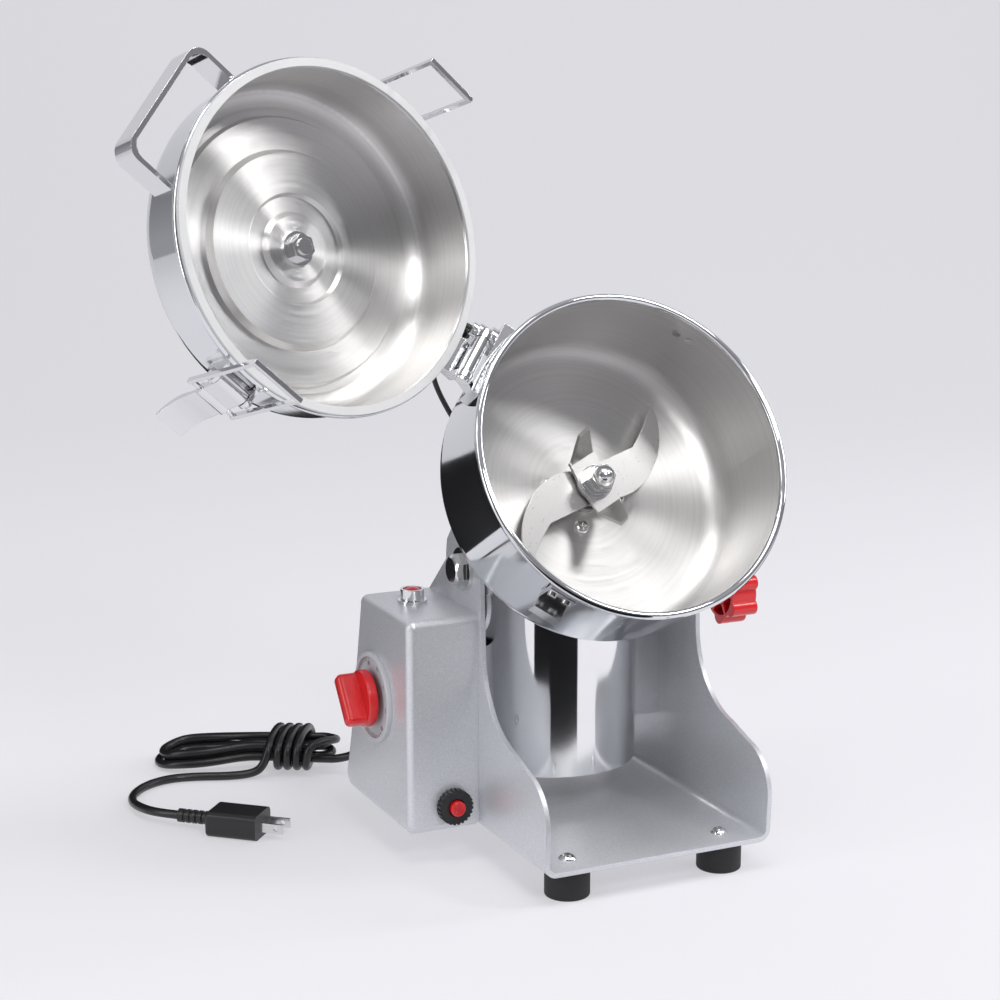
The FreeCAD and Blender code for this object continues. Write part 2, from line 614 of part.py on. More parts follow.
def hook_catches():
    """Hooked plates riveted to the bowl's wall, a quarter turn either side of the hinge."""
    plates, rivets = [], []
    r, z = bowl_r + bowl_wall, rim_z - 20
    yc = casing_y
    for k in (90, -90):
        back = block(-9, yc + r - 3, z - 10, 9, yc + r + 2.2, z + 10)
        back = back.cut(cyl(r + 0.02, 60, (0, yc, z - 30)))
        arm = block(-9, yc + r + 1, z - 10, 9, yc + r + 9, z - 7.5)
        lip = block(-9, yc + r + 6.8, z - 18, 9, yc + r + 9, z - 7.5)
        p = fuse([back, arm, lip])
        pins = []
        for x in (-5, 5):
            p = p.cut(cyl(1.6, 12, (x, yc + r - 4, z + 3), Y))
            pins.append(fuse([cyl(1.58, 6, (x, yc + r - 3, z + 3), Y), cyl(2.8, 1.2, (x, yc + r + 2.25, z + 3), Y),
                              cyl(2.8, 1.2, (x, yc + bowl_r - 1.6, z + 3), Y)]))
        plates.append(around(p, hinge_spin_deg + k))
        rivets += [around(q, hinge_spin_deg + k) for q in pins]
    return group(plates + rivets)


def rivet_holes(s):
    for k in (90, -90):
        for x in (-5, 5):
            h = cyl(1.6, 12, (x, casing_y + bowl_r - 5, rim_z - 17), Y)
            s = s.cut(around(h, hinge_spin_deg + k))
    return s


# Hinge between bowl and lid, built at the back and then spun round the bowl
def hinge_seat():
    yc, r = casing_y, bowl_r + bowl_wall
    yh, zh = yc + hinge_r, rim_z - hinge_drop
    s = block(-ear_w / 2, yc + r - 8, zh - 26, ear_w / 2 + 18, yc + r + 5, zh - 6)
    s = s.cut(cyl(r + 0.02, 90, (0, yc, zh - 40)))
    for x in (-ear_w / 2, ear_w / 2 - ear_t):
        ear = side([(yc + r + 3, zh - 16), (yh + 4, zh - 5), ((yh + 5, zh + 1), (yh, zh + 5)),
                    ((yh - 4, zh + 3), (yh - 5, zh - 2)), (yc + r + 3, zh - 8)], x, x + ear_t)
        s = s.fuse(ear)
    s = s.cut(cyl(pin_r + 0.01, 60, (-30, yh, zh), X))
    s = s.cut(cyl(6.02, 40, (switch_x, yc + r - 12, zh - 16), Y))
    return around(s.removeSplitter(), hinge_spin_deg)


def hinge_pin():
    yh, zh = casing_y + hinge_r, rim_z - hinge_drop
    w = ear_w / 2
    s = cyl(pin_r, ear_w + 1.2, (-w - 0.6, yh, zh), X)
    for x in (-w - 2.2, w + 0.2):
        s = s.fuse(cyl(4, 2, (x, yh, zh), X))
    return around(s.removeSplitter(), hinge_spin_deg)


def hinge_leaf():
    """The lid's leaf: a barrel on the pin and an arm up the lid's wall."""
    yc, r = casing_y, bowl_r + lid_wall
    yh, zh = yc + hinge_r, rim_z - hinge_drop
    w = ear_w / 2 - ear_t - 0.4
    arm = side([(yc + r - 4, rim_z + 12), (yh + 3, rim_z + 12), (yh + 4.5, zh), ((yh, zh - 4.5), (yh - 4.5, zh)),
                (yh - 4.5, rim_z + 5), (yc + r - 4, rim_z + 9)], -w, w)
    top = block(-w, yc + r - 4, rim_z + 9, w, yc + r + 4, rim_z + 32)
    s = fuse([arm, top]).cut(cyl(r + 0.02, 90, (0, yc, rim_z - 10)))
    s = s.cut(cyl(pin_r + pin_run, 60, (-30, yh, zh), X))
    return around(s.removeSplitter(), hinge_spin_deg)


def switch_body():
    """Safety switch in the hinge seat, with a nose for its lead."""
    yc, r = casing_y, bowl_r + bowl_wall
    zh = rim_z - hinge_drop
    body = fuse([cyl(6, 18, (switch_x, yc + r - 1.5, zh - 16), Y), cyl(8, 4, (switch_x, yc + r + 5.02, zh - 16), Y)])
    nose = cyl(4.5, 4, (switch_x, yc + r + 16.5, zh - 16), Y)
    return around(fuse([body, nose]), hinge_spin_deg)


# Lid, closed on the bowl, before it is opened
def lid():
    r, t, z0 = bowl_r, lid_wall, rim_z + lid_gap + gasket_t
    top, c = z0 + lid_depth, 12.0
    k = 1 - math.sqrt(0.5)
    s = lathe([(5.05, top), (5.05, top - t), (r - c, top - t), ((r - k * c, top - t - k * c), (r, top - t - c)),
               (r, z0 + 0.01), (r + 2 * bead_r, z0 + 0.01), ((r + 2 * bead_r + 1, z0 + 2), (r + 2 * bead_r, z0 + 4)),
               (r + t, z0 + 4), (r + t, top - c - t), ((r + t - k * (c + t), top - k * (c + t)), (r - c, top))],
              casing_y)
    return s


def gasket():
    z0 = rim_z + lid_gap
    return ring(bowl_r + 2 * bead_r - 0.4, bowl_r - 0.2, gasket_t, (0, casing_y, z0))


def liner():
    """Stepped pressure plate inside the lid, with two rings."""
    top, r = rim_z + lid_gap + gasket_t + lid_depth - lid_wall, bowl_r
    s = lathe([(5.05, top - 0.02), (5.05, top - 9), (20, top - 9), (23, top - 6.5), (32, top - 6.5), (34, top - 9),
               (r - 42, top - 9), (r - 39, top - 5), (r - 20, top - 5), (r - 18, top - 1.6), (r - 14, top - 1.6),
               (r - 14, top - 0.02)], casing_y)
    return s


def lid_bolt():
    """Bolt through the lid's centre, with its washer and nut inside."""
    top = rim_z + lid_gap + gasket_t + lid_depth
    low = top - lid_wall - 9
    c = (0, casing_y)
    head = cyl(9, 4, (c[0], c[1], top + 0.02))
    head = round_edges(head, 1.8, lambda e: e.BoundBox.ZMin > top + 3.9)
    bolt = fuse([head, cyl(5, top - low + 9, (c[0], c[1], low - 9))])
    washer = ring(10.5, 5.02, 1.6, (c[0], c[1], low - 1.62))
    nut = hexagon(14, 6, (c[0], c[1], low - 7.64)).cut(cyl(5.02, 20, (c[0], c[1], low - 12)))
    return group([bolt, washer, nut])


def lid_handle():
    """Chrome strap handle opposite the hinge."""
    yc, r, z = casing_y, bowl_r + lid_wall, rim_z + lid_gap + gasket_t + 22
    h, half = 26.0, 42.0
    def strap(g):
        y = yc - r
        return [(-half + g, y + 16), (-half + g, y - h + 10 + g), ((-half + 3 + g * 0.9, y - h + 3 + g * 0.9),
                (-half + 10, y - h + g)), (half - 10, y - h + g),
                ((half - 3 - g * 0.9, y - h + 3 + g * 0.9), (half - g, y - h + 10 + g)), (half - g, y + 16)]
    def slab(g):
        pts = strap(g)
        def at(p):
            return (at(p[0]), at(p[1])) if isinstance(p[0], tuple) else (p[0], p[1], z - 9)
        return Part.Face(curve([at(p) for p in pts] + [at(pts[0])])).extrude(V(0, 0, 18))
    s = slab(0).cut(slab(3)).cut(cyl(r + 0.02, 90, (0, yc, z - 45)))
    return around(s, hinge_spin_deg)


def latch_parts():
    """Toggle latches on the lid, a quarter turn either side of the hinge, shown hanging free."""
    yc, r = casing_y, bowl_r + lid_wall
    z = rim_z + latch_up
    out = {}
    for name, k in (("left", 90), ("right", -90)):
        base = block(-13, yc + r - 4, z - 12, 13, yc + r + 2.5, z + 12)
        for x in (-13, 10.5):
            base = base.fuse(side([(yc + r + 1, z - 9), (yc + r + 9, z - 5), ((yc + r + 13, z), (yc + r + 9, z + 5)),
                                   (yc + r + 1, z + 9)], x, x + 2.5))
        base = base.cut(cyl(r + 0.02, 90, (0, yc, z - 45)))
        base = base.cut(cyl(2.01, 40, (-20, yc + r + 8, z), X)).removeSplitter()
        pin = fuse([cyl(2, 29, (-14.5, yc + r + 8, z), X), cyl(3.4, 1.6, (-15.1, yc + r + 8, z), X),
                    cyl(3.4, 1.6, (13.5, yc + r + 8, z), X)])
        yp = yc + r + 8
        lever = side([(yp - 4, z - 2), ((yp, z - 4.5), (yp + 4.5, z)), (yp + 9, z + 26), ((yp + 12, z + 40), (yp + 19, z + 50)),
                      (yp + 17, z + 51.5), ((yp + 9, z + 41), (yp + 6, z + 27)), ((yp + 2, z + 10), (yp - 4, z + 3))], -10, 10)
        hz, hy, bar = z + 14, yp + 5, rim_z - 30.2
        lever = lever.fuse(cyl(4, 20, (-10, hy, hz), X)).removeSplitter()
        lever = lever.cut(cyl(2 + pin_run, 40, (-20, yp, z), X)).cut(cyl(1.6, 60, (-30, hy, hz), X))
        hook = fuse([cyl(1.5, 35.8, (-17.9, hy, hz), X)]
                    + [block(x, hy - 1.5, bar - 3, x + 2.4, hy + 1.5, hz + 2.5) for x in (-17.9, 15.5)]
                    + [block(-17.9, hy - 1.5, bar - 3, 17.9, hy + 1.5, bar)])
        out[name] = [around(s, hinge_spin_deg + k) for s in (base, pin, lever, hook)]
    return out


# Cords
def arc_to(p, t, q):
    """The arc from p that leaves along t and ends at q, with the direction it ends in."""
    c = q - p
    across = c - t * c.dot(t)
    if across.Length < 1e-6 * c.Length:
        return Part.LineSegment(p, q).toShape(), t, 1e9
    u = across.normalize()
    r = c.dot(c) / (2 * c.dot(u))
    centre = p + u * r
    mid = centre + ((p + q) * 0.5 - centre).normalize() * r
    end = (c * (2 * t.dot(c) / c.dot(c)) - t).normalize()
    return Part.Arc(p, mid, q).toShape(), end, r


def wound_path(nodes):
    """Pairs of tangent arcs through (point, direction) nodes, with the least radius used."""
    edges, least = [], 1e9
    for (p, t), (q, s) in zip(nodes, nodes[1:]):
        v, w, k = q - p, t + s, 2 * (1 - t.dot(s))
        if k < 1e-6:
            d = v.dot(v) / (2 * v.dot(w))
        else:
            d = (-v.dot(w) + math.sqrt(v.dot(w) ** 2 + k * v.dot(v))) / k
        m = (p + q + (t - s) * d) * 0.5
        one, mid_t, r1 = arc_to(p, t, m)
        two, end_t, r2 = arc_to(m, mid_t, q)
        edges += [one, two]
        least = min(least, r1, r2)
    return edges, least


def run_tube(edges, r):
    """A round tube of radius r along tangent edges."""
    w = Part.Wire(edges)
    p, t = edges[0].valueAt(edges[0].FirstParameter), edges[0].tangentAt(edges[0].FirstParameter)
    pipe = Part.BRepOffsetAPI.MakePipeShell(w)
    pipe.add(Part.Wire(Part.makeCircle(r, p, t)))
    pipe.build()
    pipe.makeSolid()
    return pipe.shape()


def free_path(points):
    """Straight runs joined by arcs as large as the runs allow, with the radii."""
    pts = [V(*p) for p in points]
    edges, here, radii = [], pts[0], []
    for a, b, c in zip(pts, pts[1:], pts[2:]):
        u, v = (a - b).normalize(), (c - b).normalize()
        cut = 0.45 * min((a - b).Length, (c - b).Length)
        half = (math.pi - u.getAngle(v)) / 2
        start, end = b + u * cut, b + v * cut
        r = cut / math.tan(half)
        edges.append(Part.LineSegment(here, start).toShape())
        edges.append(arc_to(start, u * -1, end)[0])
        radii.append(round(r, 1))
        here = end
    edges.append(Part.LineSegment(here, pts[-1]).toShape())
    return edges, radii


def least_gap(edges, r, skip):
    """Least clear gap between parts of one tube that are more than skip apart along it."""
    pts, at, total = [], [], 0.0
    for e in edges:
        n = max(2, int(e.Length / 2))
        pts += e.discretize(n)[:-1]
        at += [total + e.Length * i / (n - 1) for i in range(n - 1)]
        total += e.Length
    best = 1e9
    for i, p in enumerate(pts):
        for j in range(i + 1, len(pts)):
            if at[j] - at[i] > skip:
                best = min(best, (p - pts[j]).Length)
    return best - 2 * r


def cord(name, edges, r):
    s = run_tube(edges, r)
    length = sum(e.Length for e in edges)
    print("%s length %.0f, volume ratio %.4f" % (name, length, s.Volume / (math.pi * r * r * length)))
    export(name, s)


def hank_at(u, v, z):
    return V(hank_x + u * hank_u[0] - v * hank_u[1], hank_y + u * hank_u[1] + v * hank_u[0], z)


def hank_way(u, v, z):
    return V(u * hank_u[0] - v * hank_u[1], u * hank_u[1] + v * hank_u[0], z).normalize()


def hank_nodes():
    """Three loops laid in and out again in two layers, then four turns round the waist."""
    p, r = hank_pitch, cord_r
    a, b = waist + 2 * r + 2.6, p / 2 + 2 * r + 2.4
    mid = b + r + 0.3
    low, high = mid - p / 2, mid + p / 2
    nodes = [(hank_at(lay, -waist, low), hank_way(-1, 0, 0))]
    for q in range(1, 13):
        inner = min(q, 12 - q) * p / 4
        z = low if q < 6 else high
        if q == 6:
            z = mid
        w = waist - inner
        if q % 4 == 1:
            nodes += [(hank_at(-lay, -w, z), hank_way(-1, 0, 0)),
                      (hank_at(-far_end + lobe, -lobe + inner, z - 4), hank_way(-1, 0, 0)),
                      (hank_at(-far_end + inner, 0, z - low + r + 0.3), hank_way(0, 1, 0)),
                      (hank_at(-far_end + lobe, lobe - inner, z - 4), hank_way(1, 0, 0))]
        if q % 4 == 2:
            nodes += [(hank_at(-lay, w, z), hank_way(1, 0, 0)), (hank_at(lay, w, z), hank_way(1, 0, 0))]
        if q % 4 == 3:
            nodes.append((hank_at(lay + w, 0, z - 2), hank_way(0, -1, 0)))
        if q % 4 == 0 and q < 12:
            nodes.append((hank_at(lay, -w, z), hank_way(-1, 0, 0)))
    u0 = wrap_turns * p / 2
    for k in range(4 * wrap_turns + 1):
        t = k * math.pi / 2
        nodes.append((hank_at(u0 - p * k / 4, -a * math.cos(t), mid - b * math.sin(t)),
                      hank_way(-p / (2 * math.pi), a * math.sin(t), -b * math.cos(t))))
    nodes.append((hank_at(-u0 - 26, -a - 10, r + 0.3), hank_way(-1, -0.1, 0)))
    return nodes


def mains_cord():
    nodes = hank_nodes()
    start, way = nodes[0]
    end, out = nodes[-1]
    edges, least = wound_path(nodes)
    edges = [Part.LineSegment(start - way * 2 * cord_r, start).toShape()] + edges
    edges.append(Part.LineSegment(end, end + out * 2 * cord_r).toShape())
    print("hank least radius %.1f least gap %.2f" % (least, least_gap(edges, cord_r, 30)))
    cord("cord_hank", edges, cord_r)
    first = start - way * 2 * cord_r
    pts = [(gland_x, box_back_low + gland_len, box_low + 20)] + cord_points + [tuple(first - way * 12), tuple(first)]
    edges, radii = free_path(pts)
    print("power cord radii", radii)
    cord("power_cord", edges, cord_r)
    last = end + out * 2 * cord_r
    p = V(*plug_at)
    d = V(plug_dir[0], plug_dir[1], 0).normalize()
    pts = [tuple(last), tuple(last + out * 18)] + strand_points + [tuple(p - d * 18), tuple(p)]
    edges, radii = free_path(pts)
    print("plug strand radii", radii)
    cord("plug_strand", edges, cord_r)


def plug():
    """Two-blade plug lying on its side, with a ribbed strain relief."""
    L, w, h = 36.0, 27.0, 17.0
    relief = cyl(4.6, 26, (0, 0, 0), X)
    for k in range(5):
        relief = relief.cut(ring(8, 3.6, 2, (4 + 4.4 * k, 0, 0), X))
    body = block(24, -w / 2, -h / 2, 24 + L, w / 2, h / 2)
    body = round_edges(body, 4, lambda e: e.BoundBox.XLength > L - 1)
    body = round_edges(body, 2, lambda e: e.BoundBox.XMax < 24.01)
    body = body.fuse(relief).removeSplitter()
    blades = []
    for y in (-6.35, 6.35):
        b = block(24 + L - 8, y - 0.75, -3.15, 24 + L + 17, y + 0.75, 3.15)
        body = body.cut(block(24 + L - 8, y - 0.77, -3.17, 24 + L + 1, y + 0.77, 3.17))
        b = b.cut(cyl(1.6, 4, (24 + L + 12, y - 2, 0), Y))
        blades.append(b)
    place = FreeCAD.Placement(V(*plug_at), FreeCAD.Rotation(X, V(plug_dir[0], plug_dir[1], 0)))
    out = [body, group(blades)]
    for s in out:
        s.Placement = place
    return out


def cord_gland():
    y, z = box_back_low, box_low + 20
    s = fuse([ring(6, cord_r + 0.5, box_wall + 6, (gland_x, y - box_wall - 6, z), Y),
              hexagon(16, 5, (gland_x, y, z), Y).cut(cyl(cord_r + 0.5, 9, (gland_x, y - 2, z), Y)),
              ring(6.5, cord_r + 0.5, gland_len - 5, (gland_x, y + 5, z), Y)])
    return s


def curly_lead():
    """The lid switch's lead: down in curls beside the bowl, then in under it to a boss on the saddle."""
    r, rc, p = lead_r, curl_r, curl_pitch
    out = RHO
    side_way = TAN * -1
    start = V(0, casing_y, rim_z - hinge_drop - 16) + out * (bowl_r + bowl_wall + 20.5) - TAN * switch_x
    centre = start + out * 3 - V(0, 0, 12)
    nodes = [(start + out * 3.4, out)]
    n = 4 * curls
    for k in range(n + 1):
        t = k * math.pi / 2
        at = centre + side_way * (rc * math.sin(t)) + out * (rc * math.cos(t)) - V(0, 0, p * k / 4)
        way = side_way * (rc * math.cos(t)) - out * (rc * math.sin(t)) - V(0, 0, p / (2 * math.pi))
        nodes.append((at, way.normalize()))
    end = centre - V(0, 0, p * curls)
    boss = V(lead_boss[0], lead_boss[1], saddle_z - 5)
    bend = V(boss.x, boss.y, boss.z - 3.4)
    away = (V(boss.x, boss.y, 0) - V(end.x, end.y, 0)).normalize()
    nodes.append((V(end.x, end.y, bend.z - 6) + away * 9, away))
    nodes.append((bend, Z))
    edges, least = wound_path(nodes)
    edges = [Part.LineSegment(start, start + out * 3.4).toShape()] + edges
    edges.append(Part.LineSegment(bend, boss).toShape())
    print("curly lead least radius %.1f least gap %.2f" % (least, least_gap(edges, r, 12)))
    s = run_tube(edges, r)
    length = sum(e.Length for e in edges)
    print("curly lead length %.0f, volume ratio %.4f" % (length, s.Volume / (math.pi * r * r * length)))
    return s


def main():
    export("frame_bracket", bracket())
    rubber, screws = feet()
    export("rubber_feet", rubber)
    export("foot_screws", screws)
    lugs, long_screws = casing_lugs()
    export("motor_casing", fuse([casing()] + lugs.Solids))
    export("casing_end_plates", group([casing_bottom(), casing_top()]))
    export("panel_screws", group([long_screws, box_screws()]))
    core, wind, rotor, comm, holders, brushes, shaft, fan = motor_inside()
    export("stator_core", core)
    export("stator_windings", wind)
    export("rotor_core", rotor)
    export("commutator", comm)
    export("brush_holders", holders)
    export("carbon_brushes", brushes)
    export("rotor_shaft", shaft)
    export("cooling_fan", fan)
    export("drive_dog", dogs(hub_z - 4 - dog_h, True))
    export("motor_bearings", bearings([casing_z0 + 4, casing_z1 - bearing_t - 3], bearing_r, shaft_r, bearing_t))
    export("control_box", control_box())
    export("dial_plate", dial())
    body, knob = timer()
    export("timer_switch", body)
    export("timer_knob", knob)
    bezel, lens = lamp()
    export("lamp_bezel", bezel)
    export("lamp_lens", lens)
    body, button = guard()
    export("overload_protector", body)
    export("reset_button", button)
    export("terminal_block", terminals())
    nut, knob, stud = lock()
    export("lock_knob", knob)
    export("lock_stud", stud)
    bolts, spacers = pivots()
    export("pivot_bolts", group([bolts, nut]))
    export("pivot_spacers", spacers)
    export("bowl_shell", tipped(rivet_holes(bowl())))
    export("bowl_saddle", tipped(saddle()))
    export("blade_housing", tipped(housing()))
    z = (hub_z + 0.01, floor_z - 2)
    export("blade_bearings", tipped(bearings(z, 11, blade_shaft_r, 7.9)))
    export("floor_screws", tipped(floor_screws()))
    export("large_blade", tipped(sickle()))
    export("small_blade", tipped(winglets()))
    shaft, hardware = blade_stack()
    export("blade_shaft", tipped(shaft))
    export("blade_hardware", tipped(hardware))
    export("driven_dog", tipped(dogs(hub_z - 4 - dog_h, False)))
    export("catch_hooks", tipped(hook_catches()))
    export("hinge_seat", tipped(group([hinge_seat(), hinge_pin()])))
    export("lid_switch", tipped(switch_body()))
    export("curly_lead", tipped(curly_lead()))
    export("lid_shell", opened(lid()))
    export("lid_gasket", opened(gasket()))
    export("lid_liner", opened(liner()))
    export("lid_bolt", opened(lid_bolt()))
    export("lid_handle", opened(lid_handle()))
    export("hinge_leaf", opened(hinge_leaf()))
    latches = latch_parts()
    export("latch_bases", opened(group([s for side_ in latches for s in latches[side_][:2]])))
    for side_ in latches:
        export("latch_lever_" + side_, opened(latches[side_][2]))
        export("latch_hook_" + side_, opened(latches[side_][3]))
    export("cord_gland", cord_gland())
    mains_cord()
    body, blades = plug()
    export("plug_body", body)
    export("plug_blades", blades)


main()
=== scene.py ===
# %% [markdown]
# An electric grain mill. A steel bowl tips forward between the cheeks of a bent bracket, over an
# upright motor casing, and its hinged lid stands open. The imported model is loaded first, as the
# frame that every piece here is set against. Its nodes already sit in metres at their places.

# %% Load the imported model
import bpy, bmesh, math
from mathutils import Matrix, Vector


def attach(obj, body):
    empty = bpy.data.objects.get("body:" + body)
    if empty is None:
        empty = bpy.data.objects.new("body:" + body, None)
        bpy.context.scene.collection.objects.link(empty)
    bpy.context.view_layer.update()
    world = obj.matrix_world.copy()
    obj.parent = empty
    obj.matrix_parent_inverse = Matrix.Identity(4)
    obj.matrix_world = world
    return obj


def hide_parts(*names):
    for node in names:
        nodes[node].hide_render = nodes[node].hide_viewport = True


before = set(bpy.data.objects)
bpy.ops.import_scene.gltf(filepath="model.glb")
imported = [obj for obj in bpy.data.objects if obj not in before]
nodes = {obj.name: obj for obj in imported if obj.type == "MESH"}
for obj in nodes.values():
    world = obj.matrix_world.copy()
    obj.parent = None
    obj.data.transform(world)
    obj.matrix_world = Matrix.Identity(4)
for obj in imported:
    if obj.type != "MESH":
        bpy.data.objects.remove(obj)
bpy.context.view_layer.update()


def in_scene(name, data):
    """A new object for a mesh, curve, light or camera, linked to the scene."""
    piece = bpy.data.objects.new(name, data)
    bpy.context.scene.collection.objects.link(piece)
    return piece


def evaluated_mesh(piece):
    """What modifiers or a curve's bevel make of a piece, as a mesh of its own."""
    bpy.context.view_layer.update()
    return bpy.data.meshes.new_from_object(piece.evaluated_get(bpy.context.evaluated_depsgraph_get()))


# %% [markdown]
# The photograph was taken a little above the bowl and from the mill's front left, with a long lens,
# so upright edges stay upright. The camera is aimed by its direction and not at a target, which
# keeps the horizon level. It was then taken a step back, so that the whole lid is in the frame.

# %% Camera at the photograph's viewing angle
camera = in_scene("camera", bpy.data.cameras.new("camera"))
camera.data.lens, camera.data.sensor_width, camera.data.clip_start = 76.5, 36.0, 0.01
VIEW = Vector((0.4142, 0.8880, -0.2028)).normalized()
FIRST_STAND, STEP_BACK = Vector((-0.578, -1.1136, 0.486)), 0.085
camera.location = FIRST_STAND - STEP_BACK * VIEW
camera.rotation_euler = VIEW.to_track_quat("-Z", "Y").to_euler()
bpy.context.scene.camera = camera
bpy.context.view_layer.update()
print("camera", [round(c, 3) for c in camera.location])

# %% [markdown]
# The bowl and the lid were made upright and closed, and then turned to where the photograph has
# them. The same two turns carry any extra piece that is worked out on the upright mill, so the
# numbers stay simple: a height over the table and a distance from the bowl's axis.

# %% Sizes shared with the CAD model, in metres
MM = 0.001
TIP, OPEN, SPIN = math.radians(62), math.radians(160), math.radians(52)
PIVOT = Vector((0, 10, 187)) * MM
AXIS_Y, RIM = 45 * MM, 297 * MM
FLOOR = RIM - 80 * MM
OUT = Vector((-math.sin(SPIN), math.cos(SPIN), 0))
ALONG = Vector((-math.cos(SPIN), -math.sin(SPIN), 0))
HINGE = Vector((0, AXIS_Y, RIM - 7 * MM)) + OUT * 114.5 * MM


def turn_about(point, angle, axis):
    return Matrix.Translation(point) @ Matrix.Rotation(angle, 4, axis) @ Matrix.Translation(-point)


BOWL = turn_about(PIVOT, TIP, "X")
LID = BOWL @ turn_about(HINGE, OPEN, ALONG)
bowl_axis = (BOWL.to_3x3() @ Vector((0, 0, 1))).normalized()
lid_axis = (LID.to_3x3() @ Vector((0, 0, 1))).normalized()
print("bowl axis", [round(c, 2) for c in bowl_axis], "lid axis", [round(c, 2) for c in lid_axis])

# %% [markdown]
# The mains cord leaves a gland at the back of the control box, drops to the table and is folded in a
# hank: three long loops, and four turns round their waist. A cord is one smooth line, so it is one
# curve of order 3 through given control points, and the loops and turns are worked out as rings
# of twelve points each. The hank lies on the table, and its upper loops rest on the lower ones.

# %% The hank's own measures
CORD_R = 3.0
HANK_AT, HANK_WAY = (-126.0, 212.0), (0.875, -0.484)
STEP, WAIST, FAR, LOBE, LAY, TURNS = 6.9, 16.0, 100.0, 24.0, 18.0, 4
RING_A, RING_B = WAIST + 2 * CORD_R + 2.6, STEP / 2 + 2 * CORD_R + 2.4
MID = RING_B + CORD_R + 0.3
LOW, HIGH = MID - STEP / 2, MID + STEP / 2
TIGHT = math.cos(math.radians(15))


def on_hank(u, v, z):
    """A point u along the hank and v across it, at a height z, in millimetres."""
    (x, y), (c, s) = HANK_AT, HANK_WAY
    return (x + u * c - v * s, y + u * s + v * c, z)


# %% The three loops, which spiral in on the lower layer and out again on the upper
def half_width(q):
    return WAIST - min(q, 12 - q) * STEP / 4


def loop_points(t):
    q = 4 * t
    z = LOW if q + 1 < 6 else HIGH
    back_z = LOW if q + 2 < 6 else (MID if q + 2 == 6 else HIGH)
    w1, w2, w3 = half_width(q + 1), half_width(q + 2), half_width(q + 3)
    r, c = LOBE - WAIST + w1, LOBE - FAR
    pts = [on_hank(LAY - 4, -half_width(q + 0.2), z), on_hank(-LAY, -w1, z), on_hank(-LAY - 16, -w1, z - 0.5),
           on_hank(c + 16, -r, z - 3.5)]
    tip = z - LOW + CORD_R + 0.3
    for k in range(6):
        g = math.radians(15 + 30 * k)
        pts.append(on_hank(c - r / TIGHT * math.sin(g), -r / TIGHT * math.cos(g),
                           z - 4 + (tip - z + 4) * math.sin(g)))
    pts += [on_hank(c + 16, r, z - 3.5), on_hank(-LAY - 16, w2, back_z - 0.5), on_hank(-LAY, w2, back_z),
            on_hank(LAY - 4, w2, back_z)]
    near_z = LOW if q + 3 < 6 else HIGH
    if t < 2:
        for k in range(6):
            g = math.radians(15 + 30 * k)
            w = w2 + (half_width(q + 4) - w2) * g / math.pi
            rise = min(1, g / 1.6) if q + 2 == 6 else 1
            pts.append(on_hank(LAY + w3 / TIGHT * math.sin(g), w / TIGHT * math.cos(g),
                               back_z + (near_z - back_z) * rise))
        return pts
    for k in range(3):
        g = math.radians(15 + 30 * k)
        pts.append(on_hank(LAY + w3 / TIGHT * math.sin(g), w3 / TIGHT * math.cos(g),
                           near_z + (0, 0, 1.5)[k]))
    return pts + [on_hank(LAY + 13, -7, HIGH + 4.5), on_hank(LAY + 5, -17, HIGH + 6.5),
                  on_hank(LAY - 2, -RING_A - 1, HIGH + 4)]


# %% The turns round the waist, a little squared so that they clear the bundle's corners
SQUARED = 0.8


def waist_points():
    pts = []
    for k in range(12 * TURNS):
        g = math.radians(15 + 30 * k)
        c, s = math.cos(g), math.sin(g)
        across, over = math.copysign(abs(c) ** SQUARED, c), math.copysign(abs(s) ** SQUARED, s)
        pts.append(on_hank(TURNS * STEP / 2 - STEP * g / (2 * math.pi), -RING_A * 1.04 * across,
                           MID - RING_B * over))
    return pts


# %% The whole mains cord as one curve
def line_curve(name, points, radius):
    """An order 3 curve through control points in millimetres. Its points carry the radius and its
    bevel is one, so that the control points don't widen the piece's box."""
    data = bpy.data.curves.new(name, "CURVE")
    data.dimensions, data.bevel_depth, data.bevel_resolution = "3D", 1.0, 5
    data.resolution_u, data.use_fill_caps = 8, True
    spline = data.splines.new("NURBS")
    spline.points.add(len(points) - 1)
    for p, co in zip(spline.points, points):
        p.co, p.radius = (co[0] * MM, co[1] * MM, co[2] * MM, 1), radius * MM
    spline.order_u, spline.use_endpoint_u = 3, True
    return in_scene(name, data)


def centreline(piece):
    """The smooth line that a curve piece follows, as points in metres."""
    bevel, piece.data.bevel_depth = piece.data.bevel_depth, 0
    mesh = evaluated_mesh(piece)
    line = [v.co.copy() for v in mesh.vertices]
    bpy.data.meshes.remove(mesh)
    piece.data.bevel_depth = bevel
    return line


def line_length(line):
    return sum((b - a).length for a, b in zip(line, line[1:]))


route = [(-92, 116, 42), (-91.5, 135, 40.5), (-88.5, 148, 32), (-87.5, 160, 24), (-90.5, 170.5, 17.5),
         on_hank(36, -16, LOW), on_hank(25, -16, LOW)]
loops = [p for t in range(3) for p in loop_points(t)]
leaving = [on_hank(-16.8, -RING_A - 2, MID - 6), on_hank(-22.8, -RING_A - 5, 4.2),
           on_hank(-39.8, -RING_A - 10, 3.3), on_hank(-63.7, -RING_A - 12.4, 3.3)]
strand = [(-219, 214, 3.3), (-237, 207, 3.3), (-250, 193, 3.3), (-256, 175, 4.5), (-256, 156, 7),
          (-250.5, 136.9, 8.6), (-237, 125, 8.6)]
mains = line_curve("mains_cord", route + loops + waist_points() + leaving + strand, CORD_R)
mains_line = centreline(mains)
print("mains cord %.3f m, %d points" % (line_length(mains_line), len(mains.data.splines[0].points)))
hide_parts("power_cord", "cord_hank", "plug_strand")
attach(mains, "frame")

